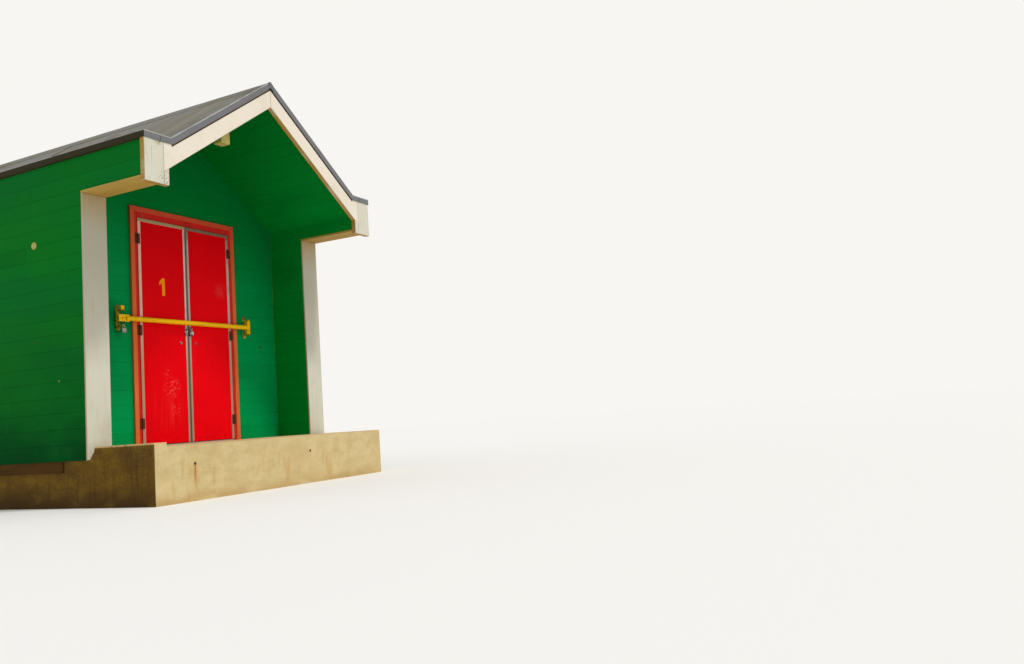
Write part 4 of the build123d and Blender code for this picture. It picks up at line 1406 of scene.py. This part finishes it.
@dataclass
class Roof:
    """Felt strips, drip trims, ceiling boards and the timber that carries them.

    Args:
        place: Main planes of the hut.
        strip_run: Run of each felt strip along the ridge.
        strip_tone: Step in tone from one strip to the next.
        lap: Height of the step where one strip laps the next.
        cap_half: Half of the ridge cap's width.
        cap_rise: Height of the cap over the strips at the ridge.
        cap_edge: Height of its edges over them.
        cap_arris: Bevel on its edges.
        trim_face: How far the trims' faces stand back from their beads.
        trim_rise: Height of the trims' upper roll over the covering.
        trim_drop: Depth of their drip edge.
        trim_arris: Bevel on their edges.
        lip: Width of their lip on the covering.
        lip_foot: Height of the lip's underside over the covering.
        bead: Height of the upper roll and the drip bead.
        sleeve_x: Distance from the middle at which a sleeve joins two trims.
        sleeve_width: Width of the sleeve.
        saddle_half: Half of the width of the saddle over the ridge.
        saddle_sink: How far the saddle's top lies below the roll's.
        ceiling: Boards of the porch ceiling.
    """

    place: Places
    strip_run: float = 2.44
    strip_tone: float = 0.37
    lap: float = 0.004
    cap_half: float = 0.16
    cap_rise: float = 0.007
    cap_edge: float = 0.006
    cap_arris: float = 0.001
    trim_face: float = 0.002
    trim_rise: float = 0.010
    trim_drop: float = 0.042
    trim_arris: float = 0.0008
    lip: float = 0.025
    lip_foot: float = 0.0045
    bead: float = 0.008
    sleeve_x: float = 1.207
    sleeve_width: float = 0.004
    saddle_half: float = 0.03
    saddle_sink: float = 0.0005
    ceiling: Boarding = Boarding(thickness=0.015, arris=0.001, seed=51)

    def felt(self) -> None:
        """Build the covering from overlapping strips that run over the ridge, and a ridge cap."""
        place = self.place
        felt = Joinery()
        lapped = place.roof_band(-self.lap, place.cover, place.half_width)
        flush = place.roof_band(0.0, place.cover, place.half_width)
        start = place.reach
        for index in range(math.ceil((place.roof_back - place.reach) / self.strip_run)):
            end = min(start + self.strip_run, place.roof_back)
            tone = index * self.strip_tone % 1.0
            felt.prism(lapped, Axis.Y, start, end, tone=tone, ends=0.9, far=flush)
            start = end
        cap = place.ridge_band(self.cap_half, -self.cap_rise, -self.cap_edge, 0.0)
        ends = (place.reach + self.lip, place.roof_back - self.lip)
        felt.prism(cap, Axis.Y, *ends, self.cap_arris, tone=0.8, worn=0.7)
        felt.piece("felt_strips", ROOF_FELT, stands_for=("roof_covering",))

    def gable_trim(self, front: bool) -> None:
        """Build the drip trim along one gable: face, upper roll, drip bead, lip and sleeves.

        Args:
            front: True for the front gable.
        """
        place = self.place
        node = "front_roof_trim" if front else "back_roof_trim"
        low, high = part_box(node)
        outward = -1 if front else 1
        edge = place.reach if front else place.roof_back
        tip = low.y if front else high.y
        whole = sorted((tip, edge))
        trim = Joinery()
        # light: share of the painted highlight on the upper roll's faces and bevels.
        for top, bottom, outer, light in (
            (-self.trim_rise, self.trim_drop, tip - outward * self.trim_face, 0.0),
            (-self.trim_rise, -self.trim_rise + self.bead, tip, 1.0),
            (self.trim_drop - self.bead, self.trim_drop, tip, 0.0),
        ):
            band = place.roof_band(top, bottom, high.x)
            span = sorted((outer, edge))
            trim.prism(band, Axis.Y, *span, self.trim_arris, painted_light_mark=light, ends=light, worn=light)
        lip = place.roof_band(-self.trim_rise, -self.lip_foot, place.half_width)
        trim.prism(lip, Axis.Y, *sorted((edge, edge - outward * self.lip)), self.trim_arris)
        for side in Side:
            span = side.span(self.sleeve_x, self.sleeve_x + self.sleeve_width)
            sleeve = rectangle(*span, place.flat - self.trim_drop, place.flat)
            trim.prism(sleeve, Axis.Y, *whole, tone=1.0)
        top = self.saddle_sink - self.trim_rise
        saddle = place.ridge_band(self.saddle_half, top, top, self.trim_drop)
        trim.prism(saddle, Axis.Y, *whole, self.trim_arris, tone=0.6, worn=1.0)
        trim.piece(f"folded_{node}", GREY_TRIM, stands_for=(node,))

    def side_trims(self) -> None:
        """Build the drip trims along the flat strips' outer edges."""
        place = self.place
        low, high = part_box("side_roof_trims")
        trims = Joinery()
        for side in Side:
            # light: share of the painted highlight on the upper roll's faces and bevels.
            for outer, foot, top, light in (
                (high.x - self.trim_face, high.z - self.trim_rise - self.trim_drop, high.z, 0.0),
                (high.x, high.z - self.bead, high.z, 0.8),
                (high.x, low.z, low.z + self.bead, 0.0),
            ):
                face = rectangle(*side.span(place.half_width, outer), foot, top)
                trims.prism(face, Axis.Y, low.y, high.y, self.trim_arris, painted_light_mark=light, worn=light)
            span = side.span(place.half_width, place.half_width - self.lip)
            lip = rectangle(*span, place.flat + self.lip_foot, high.z)
            trims.prism(lip, Axis.Y, low.y + self.lip, high.y - self.lip, self.trim_arris)
        trims.piece("folded_side_trims", GREY_TRIM, stands_for=("side_roof_trims",))

    def porch_ceiling(self) -> None:
        """Build the ceiling boards, which run from front to back up both slopes."""
        place = self.place
        low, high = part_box("right_porch_ceiling")
        wall = place.half_clear
        top, bottom = place.rafter_bottom, place.ceiling_bottom
        slope = [(low.x, place.slope(low.x, depth)) for depth in (top, bottom)]
        slope += [(wall, place.slope(wall, depth)) for depth in (bottom, top)]
        down = (math.cos(place.pitch), -math.sin(place.pitch))
        start = wall * down[0] + place.slope(wall, bottom) * down[1]
        for side in Side:
            boards = Joinery()
            chance = random.Random(self.ceiling.seed)
            for board in self.ceiling.courses(slope, down, start):
                shown = side.mirror(board)
                boards.prism(shown, Axis.Y, low.y, high.y, self.ceiling.arris, chance.random(), worn=0.6)
            node = side.named("porch_ceiling")
            boards.piece(f"{node}_boards", GREEN_CEILING, stands_for=(node,))

    def build(self) -> None:
        """Build the roof's skins and dress its timber."""
        self.felt()
        self.gable_trim(True)
        self.gable_trim(False)
        self.side_trims()
        self.porch_ceiling()
        dress(RAW_SOFTWOOD, "rafters", "ridge_board", "left_roof_deck", "right_roof_deck")
        dress(BROWN_STAIN, "verge_battens")
        dress(FASCIA_STAIN, "side_fascias")


@dataclass
class Base:
    """Stained concrete plinth, timber soles and the room's floorboards.

    Args:
        floor: Boards of the room's floor.
    """

    floor: Boarding = Boarding(cover=0.119, thickness=0.022, arris=0.002, seed=63)

    def build(self) -> None:
        """Lay the floorboards and dress the plinth and soles."""
        low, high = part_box("room_floor")
        room = rectangle(low.x, high.x, low.y, high.y)
        boards = Joinery()
        self.floor.lay(boards, room, Axis.Z, high.z, low.z, low.x, direction=(1.0, 0.0))
        boards.piece("room_floor_boards", FLOOR_BOARDS, stands_for=("room_floor",))
        dress(CONCRETE, "concrete_plinth")
        dress(BROWN_STAIN, "sole_beams")


@dataclass
class Doors:
    """Frame, architrave and the two leaves with their strips, screws and figure.

    Args:
        clearance: Gap between the leaves and the frame and stops.
        stop: Width of the stops.
        arris: Bevel on the frame's edges.
        fine_arris: Bevel on the stops' and leaves' edges.
        board: Width of the architrave's boards.
        board_arris: Bevel on their edges.
        meeting_bevel: How far the leaves' meeting edges slope back.
        screw: Radius of the heads of the strips' screws.
        screw_head: Height of the heads.
        screw_inset: Distance of the screws from the leaf's edges.
        screw_every: Spacing of the screws.
        screw_foot: Height of the lowest screws over the leaf's foot.
        screw_margin: Part of the leaf's height, both ends together, that the screws stay out of.
        head_screws: Shares of the leaf's width at which the head's screws lie.
        figure: Corners of the figure 1 in millimetres from its stem's lower left.
        figure_foot: X and height of that corner.
        figure_t: Thickness of the figure.
        figure_arris: Bevel on its edges.
    """

    clearance: float = 0.005
    stop: float = 0.015
    arris: float = 0.002
    fine_arris: float = 0.0015
    board: float = 0.045
    board_arris: float = 0.003
    meeting_bevel: float = 0.004
    screw: float = 0.0038
    screw_head: float = 0.0012
    screw_inset: float = 0.014
    screw_every: float = 0.24
    screw_foot: float = 0.06
    screw_margin: float = 0.1
    head_screws: Point = (0.3, 0.7)
    figure: tuple[Point, ...] = ((2, 0), (33, 0), (31, 157), (6, 157), (-28, 121), (-28, 91), (0, 113))
    figure_foot: Point = (-0.2795, 1.735)
    figure_t: float = 0.0015
    figure_arris: float = 0.0005

    def frame_boards(self) -> None:
        """Build jambs and head with their stops."""
        low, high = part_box("door_frame")
        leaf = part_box("right_leaf")[1]
        clear = leaf.x + self.clearance
        head = leaf.z + self.clearance
        stop_y = leaf.y + self.clearance
        boards = Joinery()
        for side in Side:
            jamb = rectangle(*side.span(clear, high.x), low.y, high.y)
            boards.prism(jamb, Axis.Z, low.z, high.z, self.arris, worn=0.5)
            bead = rectangle(*side.span(clear - self.stop, clear), stop_y, high.y)
            boards.prism(bead, Axis.Z, low.z, head, self.fine_arris, tone=1.0, worn=0.5)
        over = rectangle(-clear, clear, head, high.z)
        boards.prism(over, Axis.Y, low.y, high.y, self.arris, tone=0.3, worn=0.5)
        bead = rectangle(self.stop - clear, clear - self.stop, head - self.stop, head)
        boards.prism(bead, Axis.Y, stop_y, high.y, self.fine_arris, tone=1.0, worn=0.5)
        boards.piece("painted_door_frame", RED_FRAME, stands_for=("door_frame",))

    def architrave(self) -> None:
        """Build the boards round the frame, mitred at the head."""
        low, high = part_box("architrave")
        inner = high.x - self.board
        mitre = high.z - self.board
        upright = [(high.x, low.z), (inner, low.z), (inner, mitre), (high.x, high.z)]
        over = [(-high.x, high.z), (-inner, mitre), (inner, mitre), (high.x, high.z)]
        boards = Joinery()
        for outline, tone in ((Side.LEFT.mirror(upright), 0.3), (upright, 0.3), (over, 0.7)):
            boards.prism(outline, Axis.Y, low.y, high.y, self.board_arris, tone, worn=0.7)
        boards.piece("painted_architrave", ORANGE_ARCHITRAVE, stands_for=("architrave",))

    def leaf(self, side: Side, strip: Finish) -> None:
        """Build one leaf's panel and the screws in its strips, and dress the strips.

        Args:
            side: Which leaf.
            strip: Finish of its strips.
        """
        node = side.named("leaf")
        body = side.named("door")
        low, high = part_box(node)
        inner, outer = sorted((abs(low.x), abs(high.x)))
        outline = [(inner, low.y), (outer, low.y), (outer, high.y), (inner + self.meeting_bevel, high.y)]
        panel = Joinery()
        tone = 0.5 - 0.5 * side.value
        panel.prism(side.mirror(outline), Axis.Z, low.z, high.z, self.fine_arris, tone, worn=0.6)
        panel.piece(f"painted_{node}", RED_DOOR, body, (node,))
        dress(strip, f"{node}_trim")
        count = int((high.z - low.z - self.screw_margin) / self.screw_every) + 1
        places = [
            (x, low.z + self.screw_foot + index * self.screw_every)
            for index in range(count)
            for x in (inner + self.screw_inset, outer - self.screw_inset)
        ]
        places += [(inner + (outer - inner) * share, high.z - self.screw_inset) for share in self.head_screws]
        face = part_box(f"{node}_trim")[0].y
        screws = Joinery()
        for centre in side.mirror(places):
            screws.disc(centre, Axis.Y, self.screw, face, face - self.screw_head)
        screws.piece(f"{node}_strip_screws", LOCK_STEEL, body)

    def numeral(self) -> None:
        """Build the plain figure 1 on the left leaf: a stem with a short flag."""
        left, foot = self.figure_foot
        outline = [(left + x * MM, foot + z * MM) for x, z in self.figure]
        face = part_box("left_leaf")[0].y
        figure = Joinery()
        figure.prism(outline, Axis.Y, face - self.figure_t, face, self.figure_arris, worn=1.0)
        figure.piece("figure_one", ORANGE_VINYL, "left_door")

    def build(self) -> None:
        """Build the frame, both leaves and the figure, and dress the fittings."""
        self.frame_boards()
        self.architrave()
        dress(THRESHOLD_STRIP, "threshold")
        self.leaf(Side.LEFT, LEFT_STRIP)
        self.leaf(Side.RIGHT, RIGHT_STRIP)
        self.numeral()
        dress(DARK_STEEL, "frame_hinges")
        dress(LEFT_FITTINGS, "left_leaf_fittings")
        dress(RIGHT_FITTINGS, "right_leaf_fittings")
        dress(BRIGHT_LOCK, "leaf_padlock")


@dataclass
class Ironwork:
    """Locking bar, its brackets, padlock, porch light and wall cap.

    Args:
        rim: Width of the lamp's rim round its lens, and then of the lens's sloping edge.
        lens_face: Height of the lens's face over the lamp's foot.
        lens_back: Height of its back.
        lens_arris: Bevel on its edges.
        lip: Height of the lip that turns up at the end of the keeper's upper lug.
        lip_half: Half of the lip's width.
        lip_t: Thickness of the lip.
        lip_arris: Bevel on its edges.
        lug_t: Thickness of the lug.
        lug_gap: Gap between the lug and the bar.
        set_back: How far the lip's back lies in front of the bar's middle.
    """

    rim: float = 0.012
    lens_face: float = 0.0004
    lens_back: float = 0.006
    lens_arris: float = 0.002
    lip: float = 0.034
    lip_half: float = 0.0165
    lip_t: float = 0.005
    lip_arris: float = 0.001
    lug_t: float = 0.008
    lug_gap: float = 0.0015
    set_back: float = 0.004

    def lens(self) -> None:
        """Build the lamp's diffuser as a shallow pan with sloping edges."""
        low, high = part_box("porch_light")
        face, back = (
            rectangle(low.x + inset, high.x - inset, low.y + inset, high.y - inset)
            for inset in (2 * self.rim, self.rim)
        )
        lens = Joinery()
        lens.prism(face, Axis.Z, low.z + self.lens_face, low.z + self.lens_back, self.lens_arris, far=back)
        lens.piece("porch_light_lens", AMBER_LENS)

    def keeper_lip(self) -> None:
        """Build the lip on the keeper's upper lug, which guides the bar's tongue home."""
        low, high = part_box("left_bracket")
        bar_low, bar_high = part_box("locking_bar")
        middle = (low.x + high.x) / 2
        foot = bar_high.z + self.lug_gap
        span = (middle - self.lip_half, middle + self.lip_half)
        outline = rectangle(*span, foot, foot + self.lug_t + self.lip)
        back = (bar_low.y + bar_high.y) / 2 - self.set_back
        lip = Joinery()
        lip.prism(outline, Axis.Y, back - self.lip_t, back, self.lip_arris, worn=0.5)
        lip.piece("keeper_lug_lip", YELLOW_BAR)

    def build(self) -> None:
        """Dress the fittings and build the lens and the keeper's lip."""
        dress(YELLOW_BAR, "locking_bar")
        dress(BRACKET_PAINT, "left_bracket", "right_bracket")
        dress(LOCK_STEEL, "bracket_padlock")
        dress(CREAM_PLASTIC, "porch_light", "wall_cap")
        self.lens()
        self.keeper_lip()


@dataclass
class Studio:
    """Pale floor, soft light, pale background and the camera at the photograph's angle.

    Args:
        image_width: Width of the photograph in pixels.
        focal_px: Focal length fitted to the photograph, in its pixels.
        sensor_mm: Width of the camera's sensor.
        clip: Nearest and farthest distance that the camera sees.
        stand: Camera's place in metres.
        yaw_deg: Turn of the view from +X towards +Y.
        pitch_deg: Rise of the view.
        roll_deg: Tilt of the camera about its view.
        fill: Brightness of the world away from the camera.
        key: Irradiance of the key lamp.
        key_deg: Angle under which the lamp is seen, which softens its shadows.
        key_way: Direction in which its light falls.
        floor_reach: Distance of the floor's edges from the middle.
    """

    image_width: float = 1024.0
    focal_px: float = 853.65
    sensor_mm: float = 36.0
    clip: Point = (0.05, 500.0)
    stand: Triple = (-5.6149, -6.9528, 0.4918)
    yaw_deg: float = 26.589
    pitch_deg: float = 5.364
    roll_deg: float = -3.927
    fill: float = 0.6
    key: float = 1.57
    key_deg: float = 7.0
    key_way: Triple = (-0.087, 1.0, -1.725)
    floor_reach: float = 60.0

    def camera(self) -> None:
        """Set the camera where the photograph was taken from."""
        data = bpy.data.cameras.new("camera")
        data.sensor_width = self.sensor_mm
        data.lens = self.focal_px / self.image_width * self.sensor_mm
        data.clip_start, data.clip_end = self.clip
        camera = bpy.data.objects.new("camera", data)
        bpy.context.scene.collection.objects.link(camera)
        yaw, pitch, roll = (math.radians(a) for a in (self.yaw_deg, self.pitch_deg, self.roll_deg))
        view = Vector((math.cos(yaw) * math.cos(pitch), math.sin(yaw) * math.cos(pitch), math.sin(pitch)))
        level = Vector((math.sin(yaw), -math.cos(yaw), 0.0))
        upright = level.cross(view)
        right = math.cos(roll) * level + math.sin(roll) * upright
        up = math.cos(roll) * upright - math.sin(roll) * level
        turn = Matrix((right, up, -view)).transposed().to_4x4()
        camera.matrix_world = Matrix.Translation(self.stand) @ turn
        bpy.context.scene.camera = camera

    def background(self) -> None:
        """Light the object from a grey world that camera, glossy and clear rays see as pale as the floor."""
        world = bpy.data.worlds.new("studio")
        bpy.context.scene.world = world
        world.use_nodes = True
        tree = world.node_tree
        tree.nodes.clear()
        path = add_node(tree, "ShaderNodeLightPath")
        seen = path.outputs["Is Camera Ray"]
        for ray in ("Is Glossy Ray", "Is Transmission Ray"):
            most = add_node(tree, "ShaderNodeMath", {"operation": "MAXIMUM"}, {0: seen, 1: path.outputs[ray]})
            seen = most.outputs["Value"]
        soft = add_node(tree, "ShaderNodeBackground", {"Color": linear("#FFFFFF"), "Strength": self.fill})
        pale = add_node(tree, "ShaderNodeBackground", {"Color": linear("#F8F6F2"), "Strength": 1.0})
        ends = {0: seen, 1: soft.outputs["Background"], 2: pale.outputs["Background"]}
        mix = add_node(tree, "ShaderNodeMixShader", None, ends)
        add_node(tree, "ShaderNodeOutputWorld", None, {"Surface": mix.outputs["Shader"]})

    def lamps(self) -> None:
        """Add the key lamp, high in front as the day's light was."""
        data = bpy.data.lights.new("key", "SUN")
        data.energy = self.key
        data.angle = math.radians(self.key_deg)
        lamp = bpy.data.objects.new("key", data)
        bpy.context.scene.collection.objects.link(lamp)
        lamp.rotation_mode = "QUATERNION"
        lamp.rotation_quaternion = Vector(self.key_way).to_track_quat("-Z", "Y")

    def floor(self) -> None:
        """Lay the pale floor, which takes the object's shadow."""
        data = bpy.data.meshes.new("studio_floor")
        reach = self.floor_reach
        corners = [(x, y, 0.0) for x, y in rectangle(-reach, reach, -reach, reach)]
        data.from_pydata(corners, [], [(0, 1, 2, 3)])
        floor = bpy.data.objects.new("studio_floor", data)
        bpy.context.scene.collection.objects.link(floor)
        material = bpy.data.materials.new("pale_studio_floor")
        material.use_nodes = True
        shader = material.node_tree.nodes["Principled BSDF"]
        shader.inputs["Base Color"].default_value = linear("#F2F0EC")
        shader.inputs["Roughness"].default_value = 0.9
        data.materials.append(material)

    def build(self) -> None:
        """Set up the camera, world, lamp and floor."""
        self.camera()
        self.background()
        self.lamps()
        self.floor()


def main() -> None:
    """Build the hut's sub-assemblies in order, then the studio."""
    logging.basicConfig(level=logging.INFO, format="%(message)s")
    bpy.context.scene.view_settings.view_transform = "Standard"
    place = Places()
    for assembly in (Base(), Walls(place), WhiteTrim(place), Roof(place), Doors(), Ironwork(), Studio()):
        LOG.info("Building %s", type(assembly).__name__)
        assembly.build()


if __name__ == "__main__":
    main()
